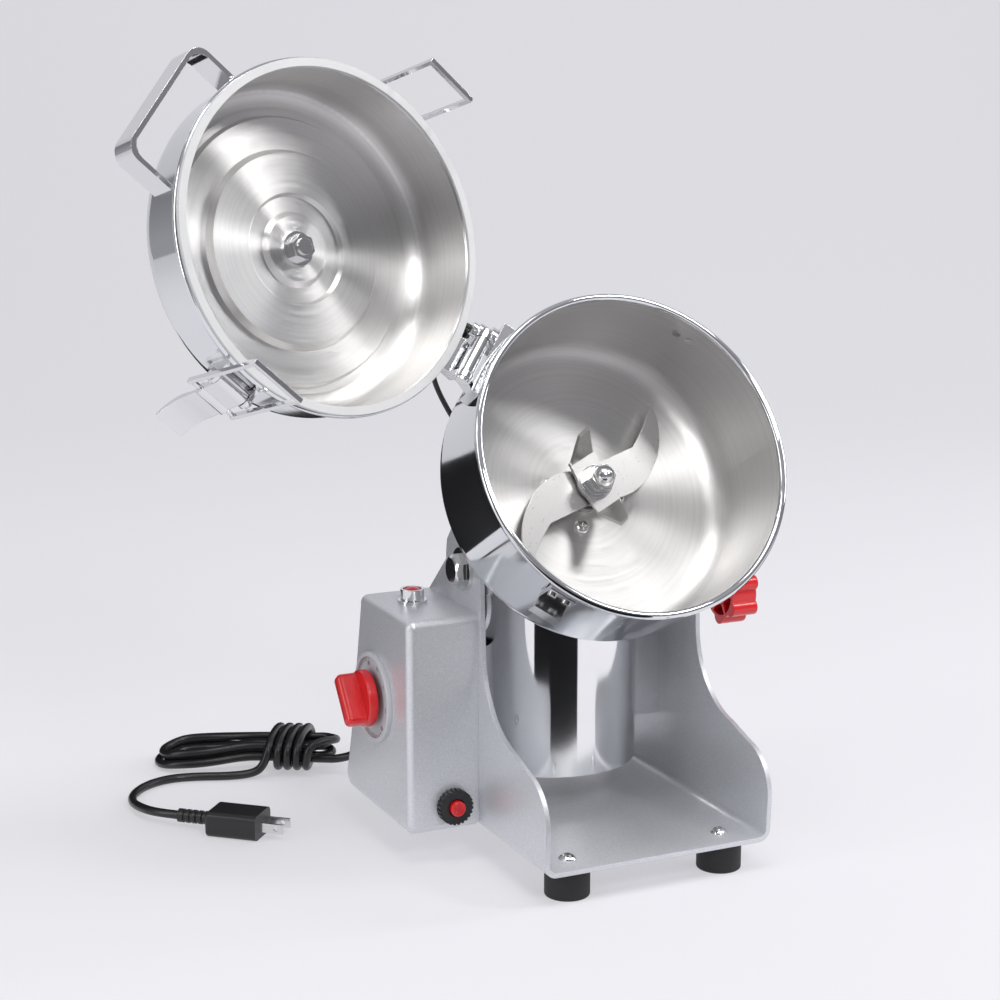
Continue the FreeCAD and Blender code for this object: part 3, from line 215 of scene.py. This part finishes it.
# %% [markdown]
# The lid's safety switch has a lead that is wound in a short curl, like a telephone lead, and goes in
# under the bowl. Its curl is more points of the same line, twelve to a turn, worked out beside the
# upright bowl and then tipped with it.

# %% The curly lead
LEAD_R, CURL_R, CURL_STEP, CURLS, SWITCH_X = 1.7, 5.4, 4.6, 6, 25.0
switch_end = Vector((0, 45, 297 - 7 - 16)) + OUT * 122 - ALONG * SWITCH_X
curl_top = switch_end + OUT * 3 - Vector((0, 0, 12))
lead = [switch_end, switch_end + OUT * 4.5, switch_end + OUT * 8.6 - Vector((0, 0, 4)) + ALONG * 0.6,
        switch_end + OUT * 8.8 - Vector((0, 0, 9)) + ALONG * 0.4]
for k in range(12 * CURLS):
    g = math.radians(15 + 30 * k)
    lead.append(curl_top - ALONG * (CURL_R / TIGHT * math.sin(g)) + OUT * (CURL_R / TIGHT * math.cos(g))
                - Vector((0, 0, CURL_STEP * g / (2 * math.pi))))
curl_end = curl_top - Vector((0, 0, CURL_STEP * CURLS))
BOSS = Vector((-58, 76, 206.5))
inward = (BOSS - curl_end).normalized()
inward = Vector((inward.x, inward.y, 0)).normalized()
lead += [curl_end + OUT * 4.5 - ALONG * 4 - Vector((0, 0, 5)), curl_end + inward * 2 - Vector((0, 0, 20)),
         Vector((curl_end.x, curl_end.y, 197)) + inward * 10, BOSS - inward * 9 - Vector((0, 0, 10)),
         BOSS - Vector((0, 0, 7)), BOSS]
curly = line_curve("switch_lead", [BOWL @ (p * MM) / MM for p in lead], LEAD_R)
curly_line = centreline(curly)
print("switch lead %.3f m" % line_length(curly_line))
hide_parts("curly_lead")
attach(curly, "bowl")

# %% [markdown]
# Polished steel shows what stands round it, so the studio matters as much as the metal. A pale floor
# runs up into a pale backdrop, and glows a little so that it stays even. Small strong lights off to
# the sides draw wedges on brushed steel. Black cards stand close by, for the mirror's dark stripes;
# they are hidden from the camera and shade nothing. Nothing of this belongs to the mill.

# %% Studio: floor, cards and lights
def flat_paint(name, colour, glow=0.0):
    material = bpy.data.materials.new(name)
    material.use_nodes = True
    shader = material.node_tree.nodes["Principled BSDF"]
    shader.inputs["Base Color"].default_value = (*colour, 1)
    shader.inputs["Roughness"].default_value = 0.9
    shader.inputs["Specular IOR Level"].default_value = 0.15
    shader.inputs["Emission Color"].default_value = (*colour, 1)
    shader.inputs["Emission Strength"].default_value = glow
    return material


def stage_piece(name, corners, faces, material):
    mesh = bpy.data.meshes.new(name)
    mesh.from_pydata(corners, [], faces)
    for f in mesh.polygons:
        f.use_smooth = True
    mesh.materials.append(material)
    piece = in_scene(name, mesh)
    return piece


def sweep(material):
    """A floor that bends up behind the mill into a backdrop, square to the camera."""
    side = Vector((VIEW.y, -VIEW.x, 0)).normalized()
    back = Vector((VIEW.x, VIEW.y, 0)).normalized()
    near, bend_at, bend, top, half = -3.5, 1.6, 0.9, 3.6, 4.0
    arc = [math.radians(9 * k) for k in range(1, 11)]
    profile = [(near, 0.0), (bend_at, 0.0)]
    profile += [(bend_at + bend * math.sin(a), bend - bend * math.cos(a)) for a in arc]
    profile += [(bend_at + bend, top)]
    corners = [tuple(back * d + side * s + Vector((0, 0, z))) for d, z in profile for s in (-half, half)]
    faces = [(2 * i, 2 * i + 1, 2 * i + 3, 2 * i + 2) for i in range(len(profile) - 1)]
    stage_piece("studio_sweep", corners, faces, material)


def card(name, azimuth, distance, width, height, material):
    """An upright card round the casing, seen in the polished steel only. Azimuth 0 is the front,
    and 90 is the right."""
    a = math.radians(azimuth)
    out, side = Vector((math.sin(a), -math.cos(a), 0)), Vector((math.cos(a), math.sin(a), 0))
    c, half = out * distance + Vector((0, AXIS_Y, 0)), width / 2
    corners = [tuple(c + side * s + Vector((0, 0, z)))
               for s, z in ((-half, 0), (half, 0), (half, height), (-half, height))]
    piece = stage_piece(name, corners, [(0, 1, 2, 3)], material)
    piece.visible_camera = piece.visible_diffuse = piece.visible_shadow = False


LIGHTS_AIM = Vector((0, 0, 0.2))


def soft_light(name, azimuth, height, distance, size, power, colour=(1, 1, 1)):
    a = math.radians(azimuth)
    data = bpy.data.lights.new(name, "AREA")
    data.shape, data.size, data.size_y = "RECTANGLE", size[0], size[1]
    data.energy, data.color = power, colour
    lamp = in_scene(name, data)
    lamp.location = Vector((math.sin(a) * distance, -math.cos(a) * distance, height))
    lamp.rotation_euler = (LIGHTS_AIM - lamp.location).to_track_quat("-Z", "Y").to_euler()


sweep(flat_paint("studio_pale", (0.34, 0.338, 0.352), glow=1.33))
black_card = flat_paint("studio_black", (0.012, 0.012, 0.014))
card("card_black_left", -62, 1.35, 0.28, 1.0, black_card)
near_cards = ((-20, 0.24, 0.235, 0.20), (97, 0.30, 0.34, 0.42), (-152, 0.33, 0.44, 0.24))
for place, (azimuth, distance, width, height) in enumerate(near_cards):
    card("card_black_near_%d" % place, azimuth, distance, width, height, black_card)
soft_light("light_top", -20, 2.1, 0.7, (1.2, 0.8), 17)
soft_light("light_left", -85, 0.9, 1.9, (0.5, 1.8), 10, colour=(1.0, 0.99, 0.98))
soft_light("light_right", 80, 0.95, 1.9, (0.35, 1.0), 14, colour=(0.97, 0.98, 1.0))
soft_light("light_front", -5, 1.65, 2.0, (0.5, 0.5), 15)
soft_light("light_high", 48, 2.0, 1.6, (0.35, 0.5), 12)


def air():
    """Light from all round: bright overhead, pale at the horizon and darker between, so that
    polished steel has contrast."""
    world = bpy.data.worlds.new("studio_air")
    bpy.context.scene.world = world
    world.use_nodes = True
    tree = world.node_tree
    place = tree.nodes.new("ShaderNodeTexCoord")
    split = tree.nodes.new("ShaderNodeSeparateXYZ")
    ramp = tree.nodes.new("ShaderNodeValToRGB")
    tree.links.new(place.outputs["Generated"], split.inputs[0])
    tree.links.new(split.outputs["Z"], ramp.inputs["Fac"])
    horizon, overhead = ramp.color_ramp.elements
    horizon.position, horizon.color = 0.0, (0.66, 0.66, 0.70, 1)
    overhead.position, overhead.color = 0.8, (0.80, 0.80, 0.84, 1)
    ramp.color_ramp.elements.new(0.3).color = (0.36, 0.36, 0.39, 1)
    tree.links.new(ramp.outputs["Color"], tree.nodes["Background"].inputs["Color"])
    tree.nodes["Background"].inputs["Strength"].default_value = 0.5


air()
bpy.context.scene.view_settings.view_transform = "Standard"

# %% [markdown]
# Every finish is a small tree of shader nodes. A helper keeps the trees short to write: it adds a
# node, sets its values and links what it is fed. All patterns read Object coordinates in metres, so
# a scale of 1000 makes features about a millimetre wide.

# %% Helpers for node trees
class Tree:
    def __init__(self, name):
        self.material = bpy.data.materials.new(name)
        self.material.use_nodes = True
        self.tree = self.material.node_tree
        self.shader = self.tree.nodes["Principled BSDF"]
        self.place = self.add("ShaderNodeTexCoord").outputs["Object"]

    def add(self, kind, fed=(), **settings):
        node = self.tree.nodes.new(kind)
        for key, value in settings.items():
            if hasattr(node, key):
                setattr(node, key, value)
            else:
                node.inputs[key.replace("_", " ")].default_value = value
        for socket, source in dict(fed).items():
            self.tree.links.new(source, node.inputs[socket])
        return node

    def math(self, operation, a, b=0.0, c=0.0):
        node = self.tree.nodes.new("ShaderNodeMath")
        node.operation = operation
        for socket, value in zip(node.inputs, (a, b, c)):
            if isinstance(value, (int, float)):
                socket.default_value = value
            else:
                self.tree.links.new(value, socket)
        return node.outputs[0]

    def noise(self, scale, detail=2.0, place=None, dims="3D"):
        node = self.add("ShaderNodeTexNoise", noise_dimensions=dims, Scale=scale, Detail=detail)
        self.tree.links.new(place or self.place, node.inputs["W" if dims == "1D" else "Vector"])
        return node.outputs["Fac"]

    def ramp(self, fac, stops):
        node = self.add("ShaderNodeValToRGB", {"Fac": fac})
        while len(node.color_ramp.elements) < len(stops):
            node.color_ramp.elements.new(0.5)
        for element, (at, value) in zip(node.color_ramp.elements, stops):
            element.position = at
            element.color = (value, value, value, 1) if isinstance(value, float) else (*value, 1)
        return node.outputs["Color"]

    def blend(self, fac, a, b):
        node = self.add("ShaderNodeMix", data_type="RGBA")
        for socket, value in ((node.inputs[0], fac), (node.inputs[6], a), (node.inputs[7], b)):
            if isinstance(value, (int, float)):
                socket.default_value = value
            elif isinstance(value, tuple):
                socket.default_value = (*value, 1)
            else:
                self.tree.links.new(value, socket)
        return node.outputs[2]

    def feed(self, **sockets):
        for key, value in sockets.items():
            socket = self.shader.inputs[key.replace("_", " ")]
            if isinstance(value, (int, float)):
                socket.default_value = value
            elif isinstance(value, tuple):
                socket.default_value = (*value, 1)
            else:
                self.tree.links.new(value, socket)

    def relief(self, height, distance, round_edges=0.0):
        node = self.add("ShaderNodeBump", {"Height": height}, Distance=distance, Strength=1.0)
        if round_edges:
            bevel = self.add("ShaderNodeBevel", samples=4, Radius=round_edges)
            self.tree.links.new(bevel.outputs[0], node.inputs["Normal"])
        self.tree.links.new(node.outputs[0], self.shader.inputs["Normal"])


# %% [markdown]
# The bracket and the control box are painted with a silver coat that has fine metal flakes in it.
# The flakes are cells about a third of a millimetre wide, some brighter than others, and a slow
# noise makes the coat a little uneven. The edges are rounded in the shader, by 0.7 millimetre.

# %% Silver flake paint
def flake_paint(name, base, flake):
    t = Tree(name)
    cells = t.add("ShaderNodeTexVoronoi", {"Vector": t.place}, Scale=2600.0)
    bright = t.math("POWER", cells.outputs["Color"], 3.0)
    slow = t.noise(30.0, 3.0)
    colour = t.blend(bright, base, flake)
    colour = t.blend(t.math("MULTIPLY", slow, 0.18), colour, tuple(c * 0.72 for c in base))
    t.feed(Base_Color=colour, Metallic=0.55, Coat_Weight=0.18, Coat_Roughness=0.25,
           Roughness=t.math("MULTIPLY_ADD", t.noise(900.0), 0.22, 0.30))
    t.relief(t.noise(1500.0, 3.0), 0.00008, 0.0007)
    return t.material


silver_paint = flake_paint("silver_flake_paint", (0.68, 0.695, 0.73), (0.95, 0.96, 0.99))

# %% [markdown]
# The bowl and the lid are spun steel. Inside they are brushed round and round, which spreads a
# highlight into bright wedges from the centre; outside they are polished like a mirror. One node
# holds both sides, so the shader works out how far each point is from the axis and how high it is
# along it, and picks the side. The brushing is a noise read along that distance alone. Highlights
# spread across the brushing, from the centre outward: the direction round the axis is given, and a
# quarter turn is put on it.

# %% Spun steel, brushed inside and polished outside
def along_axis(t, centre, axis):
    """Radius from an axis and height along it, as sockets, with the direction round the axis."""
    rel = t.add("ShaderNodeVectorMath", {0: t.place}, operation="SUBTRACT")
    rel.inputs[1].default_value = centre
    dot = t.add("ShaderNodeVectorMath", {0: rel.outputs[0]}, operation="DOT_PRODUCT")
    dot.inputs[1].default_value = axis
    lift = t.add("ShaderNodeVectorMath", {"Scale": dot.outputs["Value"]}, operation="SCALE")
    lift.inputs[0].default_value = axis
    flat = t.add("ShaderNodeVectorMath", {0: rel.outputs[0], 1: lift.outputs[0]}, operation="SUBTRACT")
    radius = t.add("ShaderNodeVectorMath", {0: flat.outputs[0]}, operation="LENGTH")
    tangent = t.add("ShaderNodeVectorMath", {1: flat.outputs[0]}, operation="CROSS_PRODUCT")
    tangent.inputs[0].default_value = axis
    world = t.add("ShaderNodeVectorTransform", {0: tangent.outputs[0]}, vector_type="VECTOR",
                  convert_from="OBJECT", convert_to="WORLD")
    return radius.outputs["Value"], dot.outputs["Value"], world.outputs[0]


def spun_steel(name, centre, axis, wall_r, inside_low, inside_high, satin=0.34):
    """wall_r is the wall's middle radius; the inside lies within it, between two heights."""
    t = Tree(name)
    radius, height, tangent = along_axis(t, centre, axis)
    within = t.math("LESS_THAN", radius, wall_r)
    inside = t.math("MULTIPLY", within, t.math("MULTIPLY", t.math("GREATER_THAN", height, inside_low),
                                               t.math("LESS_THAN", height, inside_high)))
    path = t.math("ADD", radius, height)
    fine = t.noise(9000.0, 2.0, path, "1D")
    broad = t.noise(420.0, 2.0, path, "1D")
    brushed = t.ramp(t.math("ADD", t.math("MULTIPLY", fine, 0.80), t.math("MULTIPLY", broad, 0.20)),
                     [(0.25, (0.56, 0.55, 0.54)), (0.75, (0.80, 0.79, 0.78))])
    smudge = t.noise(55.0, 4.0)
    t.feed(Base_Color=t.blend(inside, (0.80, 0.81, 0.83), brushed), Metallic=1.0,
           Roughness=t.math("MULTIPLY_ADD", inside, satin - 0.07,
                            t.math("MULTIPLY_ADD", smudge, 0.05, 0.045)),
           Anisotropic=0.97, Anisotropic_Rotation=0.25, Tangent=tangent)
    t.relief(t.math("MULTIPLY", fine, inside), 0.00003)
    return t.material


bowl_centre = BOWL @ Vector((0, AXIS_Y, FLOOR))
lid_centre = LID @ Vector((0, AXIS_Y, RIM))
bowl_steel = spun_steel("bowl_spun_steel", bowl_centre, bowl_axis, 0.1006, -0.0012, 0.0775)
lid_steel = spun_steel("lid_spun_steel", lid_centre, lid_axis, 0.1006, 0.0045, 0.0495)
liner_steel = spun_steel("liner_spun_steel", lid_centre, lid_axis, 0.11, -0.01, 0.2, 0.30)

# %% [markdown]
# The motor casing is the brightest piece: a plain tube, polished on a lathe. The fine marks run round
# it, so what it mirrors is drawn out upright, which is what the upright value is for. Nuts, screws
# and blades are satin steel with fine scratches, and the latches and the handle are plated.

# %% Mirror, satin and plated metal
def metal(name, base, roughness, scratch=0.04, edge=0.0003, scale=700.0, depth=0.00002, upright=0.0):
    t = Tree(name)
    if upright:
        t.feed(Anisotropic=upright, Tangent=t.add("ShaderNodeCombineXYZ", Z=1.0).outputs[0])
    fine = t.noise(scale, 4.0)
    slow = t.noise(40.0, 3.0)
    t.feed(Base_Color=t.blend(t.math("MULTIPLY", slow, 0.35), base, tuple(c * 0.82 for c in base)),
           Metallic=1.0, Roughness=t.math("MULTIPLY_ADD", fine, scratch, roughness - scratch / 2))
    t.relief(fine, depth, edge)
    return t.material


mirror_steel = metal("mirror_steel", (0.93, 0.93, 0.94), 0.09, 0.015, 0.0, 90.0, 0.0, upright=0.9)
satin_steel = metal("satin_steel", (0.62, 0.61, 0.60), 0.30, 0.14)
bright_steel = metal("bright_steel", (0.78, 0.78, 0.78), 0.16, 0.08)
chrome = metal("chrome_plate", (0.82, 0.82, 0.83), 0.10, 0.06, 0.0004)
laminate = metal("core_laminations", (0.30, 0.30, 0.31), 0.45, 0.1, 0.0, 2500.0, 0.0001)
copper = metal("enamelled_copper", (0.72, 0.36, 0.20), 0.32, 0.1, 0.0006, 1800.0, 0.0002)

# %% [markdown]
# The knobs and buttons are moulded red plastic with a gloss, and the feet, the plug and the collar
# are black. Moulded plastic has a faint orange-peel and its edges are never sharp.

# %% Plastic and rubber
def plastic(name, base, roughness, coat=0.0, grain=0.00004, scale=900.0, edge=0.0006, tint=0.85):
    t = Tree(name)
    colour = t.blend(t.noise(60.0, 3.0), base, tuple(c * tint for c in base))
    t.feed(Base_Color=colour, Roughness=t.math("MULTIPLY_ADD", t.noise(scale, 3.0), 0.12, roughness - 0.06),
           Coat_Weight=coat, Coat_Roughness=0.08)
    t.relief(t.noise(scale, 2.0), grain, edge)
    return t.material


red_plastic = plastic("red_gloss_plastic", (0.74, 0.010, 0.014), 0.30, 0.5, edge=0.0012)
red_lens = plastic("red_lamp_lens", (0.78, 0.02, 0.02), 0.12, 0.8)
black_rubber = plastic("black_rubber", (0.016, 0.016, 0.017), 0.62, 0.0, 0.00012, 1600.0)
black_plastic = plastic("black_plastic", (0.014, 0.014, 0.015), 0.36, 0.1)
cord_black = plastic("cord_sheath", (0.012, 0.012, 0.013), 0.34, 0.1, 0.00006, 1200.0, 0.0)
white_plastic = plastic("white_plastic", (0.78, 0.78, 0.75), 0.4)
carbon = plastic("carbon_block", (0.03, 0.03, 0.03), 0.7)
dial_silver = plastic("dial_plate_silver", (0.58, 0.59, 0.62), 0.5, 0.0, 0.00002)
grey_rubber = plastic("gasket_rubber", (0.66, 0.66, 0.66), 0.35)
ink = plastic("dial_ink", (0.03, 0.03, 0.035), 0.5, 0.0, 0.0, 900.0, 0.0)

# %% [markdown]
# What repeats is made with Geometry Nodes. The dial's scale is a ring of short strokes: points on a
# circle, one stroke copied to each and turned to face the middle. Twelve longer strokes lie over the
# sixty short ones. The tree ends in real mesh and a material, so that the marks survive an export.

# %% Geometry Nodes: a small tree with named inputs, and its result as a plain mesh
class Shape:
    """A Geometry Nodes tree; its inputs are named and given their values when it is made."""
    def __init__(self, name, **inputs):
        self.name, self.values = name, inputs
        self.tree = bpy.data.node_groups.new(name, "GeometryNodeTree")
        self.tree.interface.new_socket(name="Geometry", in_out="OUTPUT", socket_type="NodeSocketGeometry")
        for key, value in inputs.items():
            kind = "NodeSocketInt" if isinstance(value, int) else "NodeSocketFloat"
            self.tree.interface.new_socket(name=key, in_out="INPUT", socket_type=kind)
        self.source = self.tree.nodes.new("NodeGroupInput")

    def add(self, kind, fed=(), **settings):
        node = self.tree.nodes.new(kind)
        for key, value in settings.items():
            if hasattr(node, key):
                setattr(node, key, value)
            else:
                node.inputs[key.replace("_", " ")].default_value = value
        for socket, source in dict(fed).items():
            given = self.source.outputs[source] if isinstance(source, str) else source
            self.tree.links.new(given, node.inputs[socket])
        return node

    def finish(self, geometry, material):
        real = self.add("GeometryNodeRealizeInstances", {0: geometry})
        coat = self.add("GeometryNodeSetMaterial", {0: real.outputs[0]})
        coat.inputs["Material"].default_value = material
        end = self.tree.nodes.new("NodeGroupOutput")
        self.tree.links.new(coat.outputs[0], end.inputs[0])
        piece = in_scene(self.name, bpy.data.meshes.new(self.name))
        modifier = piece.modifiers.new("shape", "NODES")
        modifier.node_group = self.tree
        for item in self.tree.interface.items_tree:
            if item.item_type == "SOCKET" and item.in_out == "INPUT":
                modifier[item.identifier] = self.values[item.name]
        mesh = evaluated_mesh(piece)
        piece.modifiers.clear()
        piece.data = mesh
        print(self.name, len(mesh.polygons), "faces")
        return piece


# %% The dial's strokes
BOX_FACE, DIAL_LIFT = -127, 1.28
DIAL = Vector((BOX_FACE - DIAL_LIFT, 45, 99)) * MM
TO_DIAL = (0, -math.pi / 2, 0)


def dial_strokes(name, count, radius, length, width):
    shape = Shape(name, Count=count, Radius=radius, Length=length, Width=width)
    circle = shape.add("GeometryNodeMeshCircle", {"Vertices": "Count", "Radius": "Radius"})
    size = shape.add("ShaderNodeCombineXYZ", {"X": "Length", "Y": "Width"}, Z=0.00008)
    stroke = shape.add("GeometryNodeMeshCube", {"Size": size.outputs[0]})
    place = shape.add("GeometryNodeInputPosition")
    facing = shape.add("FunctionNodeAlignRotationToVector", {"Vector": place.outputs[0]}, axis="X")
    copies = shape.add("GeometryNodeInstanceOnPoints", {
        "Points": circle.outputs[0], "Instance": stroke.outputs[0], "Rotation": facing.outputs[0]})
    put = shape.add("GeometryNodeTransform", {0: copies.outputs[0]}, Translation=DIAL, Rotation=TO_DIAL)
    piece = shape.finish(put.outputs[0], ink)
    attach(piece, "frame")


dial_strokes("dial_minute_marks", 60, 0.0253, 0.0011, 0.00022)
dial_strokes("dial_main_marks", 12, 0.0249, 0.0019, 0.0005)

# %% [markdown]
# The numbers on the dial are plain numerals, cut from a text object, laid on the plate and turned to
# mesh. They run clockwise as the knob is seen, forty degrees apart, in the ring between the knob's
# skirt and the strokes.

# %% The dial's numbers
NUMBERS_R = 0.0222


def dial_number(value, angle):
    data = bpy.data.curves.new("dial_number_%d" % value, "FONT")
    data.body, data.size, data.extrude = str(value), 0.0040, 0.00004
    data.align_x, data.align_y = "CENTER", "CENTER"
    text = in_scene(data.name, data)
    mesh = evaluated_mesh(text)
    bpy.data.objects.remove(text)
    face_left = Matrix(((0, 0, -1), (-1, 0, 0), (0, 1, 0))).to_4x4()
    mesh.transform(Matrix.Translation(DIAL) @ face_left @ Matrix.Rotation(-angle, 4, "Z")
                   @ Matrix.Translation(Vector((0, NUMBERS_R, 0))))
    mesh.materials.append(ink)
    piece = in_scene("dial_number_%d" % value, mesh)
    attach(piece, "frame")


for k in range(7):
    dial_number(5 * k, math.radians(-100 + 40 * k))
print("dial numbers 0 to 30 in fives")

# %% [markdown]
# The reset button has a fine grid of raised dots, so that a fingertip feels it. The dots are a grid
# of points kept inside a circle, each with a low dome, and they ride with the button.

# %% The button's dots
BUTTON_FACE = Vector((-0.097, -0.02105, 0.039))


def button_dots():
    shape = Shape("button_dots", Dot=0.00036, Reach=0.0040)
    grid = shape.add("GeometryNodeMeshGrid", Size_X=0.00805, Size_Y=0.00805, Vertices_X=8, Vertices_Y=8)
    place = shape.add("GeometryNodeInputPosition")
    far = shape.add("ShaderNodeVectorMath", {0: place.outputs[0]}, operation="LENGTH")
    keep = shape.add("FunctionNodeCompare", {0: far.outputs["Value"], 1: "Reach"},
                     data_type="FLOAT", operation="LESS_THAN")
    dome = shape.add("GeometryNodeMeshUVSphere", {"Radius": "Dot"}, Segments=8, Rings=5)
    copies = shape.add("GeometryNodeInstanceOnPoints", {
        "Points": grid.outputs[0], "Selection": keep.outputs[0], "Instance": dome.outputs[0]})
    put = shape.add("GeometryNodeTransform", {0: copies.outputs[0]}, Translation=BUTTON_FACE,
                    Rotation=(math.pi / 2, 0, 0))
    piece = shape.finish(put.outputs[0], red_plastic)
    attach(piece, "reset")


button_dots()

# %% [markdown]
# Where the cord leaves the box it is held by a soft ribbed sleeve that tapers onto it. The sleeve
# follows the cord's own line, read back from the curve, as rings whose radius falls and ripples.

# %% The sleeve at the gland
SLEEVE_LENGTH, SLEEVE_R, SLEEVE_TAPER, RIPPLE, RIPPLES = 0.024, 5.2, 1.9, 0.28, 8
ROUND = [math.tau * k / 24 for k in range(24)]


def sleeve_line():
    """The first stretch of the mains cord, with three points more between each two."""
    line, so_far = [mains_line[0]], 0.0
    for a, b in zip(mains_line, mains_line[1:]):
        so_far += (b - a).length
        if so_far > SLEEVE_LENGTH:
            break
        line.append(b)
    return [a.lerp(b, k / 4) for a, b in zip(line, line[1:]) for k in range(4)]


def tapered_sleeve():
    line = sleeve_line()
    bm, rings = bmesh.new(), []
    for i, c in enumerate(line):
        way = (line[min(i + 1, len(line) - 1)] - line[max(i - 1, 0)]).normalized()
        side = way.orthogonal().normalized()
        up = way.cross(side)
        f = i / (len(line) - 1)
        r = (SLEEVE_R - SLEEVE_TAPER * f + RIPPLE * math.cos(math.tau * RIPPLES * f)) * MM
        rings.append([bm.verts.new(c + (side * math.cos(a) + up * math.sin(a)) * r) for a in ROUND])
    for a, b in zip(rings, rings[1:]):
        for k in range(len(ROUND)):
            n = (k + 1) % len(ROUND)
            bm.faces.new((a[k], a[n], b[n], b[k]))
    for end in (rings[0], rings[-1]):
        bm.faces.new(end)
    bmesh.ops.recalc_face_normals(bm, faces=bm.faces)
    for f in bm.faces:
        f.smooth = len(f.verts) == 4
    mesh = bpy.data.meshes.new("gland_sleeve")
    bm.to_mesh(mesh)
    bm.free()
    mesh.materials.append(black_rubber)
    piece = in_scene("gland_sleeve", mesh)
    print("gland_sleeve", len(mesh.polygons), "faces")
    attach(piece, "frame")


tapered_sleeve()

# %% [markdown]
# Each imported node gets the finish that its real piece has. The shape of a node stays as the CAD model
# has it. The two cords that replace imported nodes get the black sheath.

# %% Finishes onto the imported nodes
finish = {
    silver_paint: "frame_bracket control_box bowl_saddle",
    bowl_steel: "bowl_shell", lid_steel: "lid_shell", liner_steel: "lid_liner",
    mirror_steel: "motor_casing",
    satin_steel: "large_blade small_blade casing_end_plates blade_housing drive_dog driven_dog rotor_shaft",
    bright_steel: "foot_screws panel_screws pivot_bolts floor_screws blade_shaft blade_hardware"
                  " lock_stud motor_bearings blade_bearings catch_hooks plug_blades lid_bolt",
    chrome: "lid_handle hinge_leaf hinge_seat latch_bases latch_lever_left latch_lever_right latch_hook_left"
            " latch_hook_right lamp_bezel lid_switch",
    laminate: "stator_core rotor_core", copper: "stator_windings commutator", carbon: "carbon_brushes",
    red_plastic: "timer_knob lock_knob reset_button", red_lens: "lamp_lens",
    black_plastic: "brush_holders timer_switch overload_protector cord_gland cooling_fan plug_body",
    black_rubber: "rubber_feet", grey_rubber: "lid_gasket", dial_silver: "dial_plate",
    white_plastic: "terminal_block pivot_spacers",
    cord_black: "power_cord cord_hank plug_strand curly_lead"}
for material, names in finish.items():
    for name in names.split():
        nodes[name].data.materials.clear()
        nodes[name].data.materials.append(material)
for piece in (mains, curly):
    piece.data.materials.append(cord_black)
print("finished nodes", sum(len(n.split()) for n in finish.values()), "of", len(nodes))
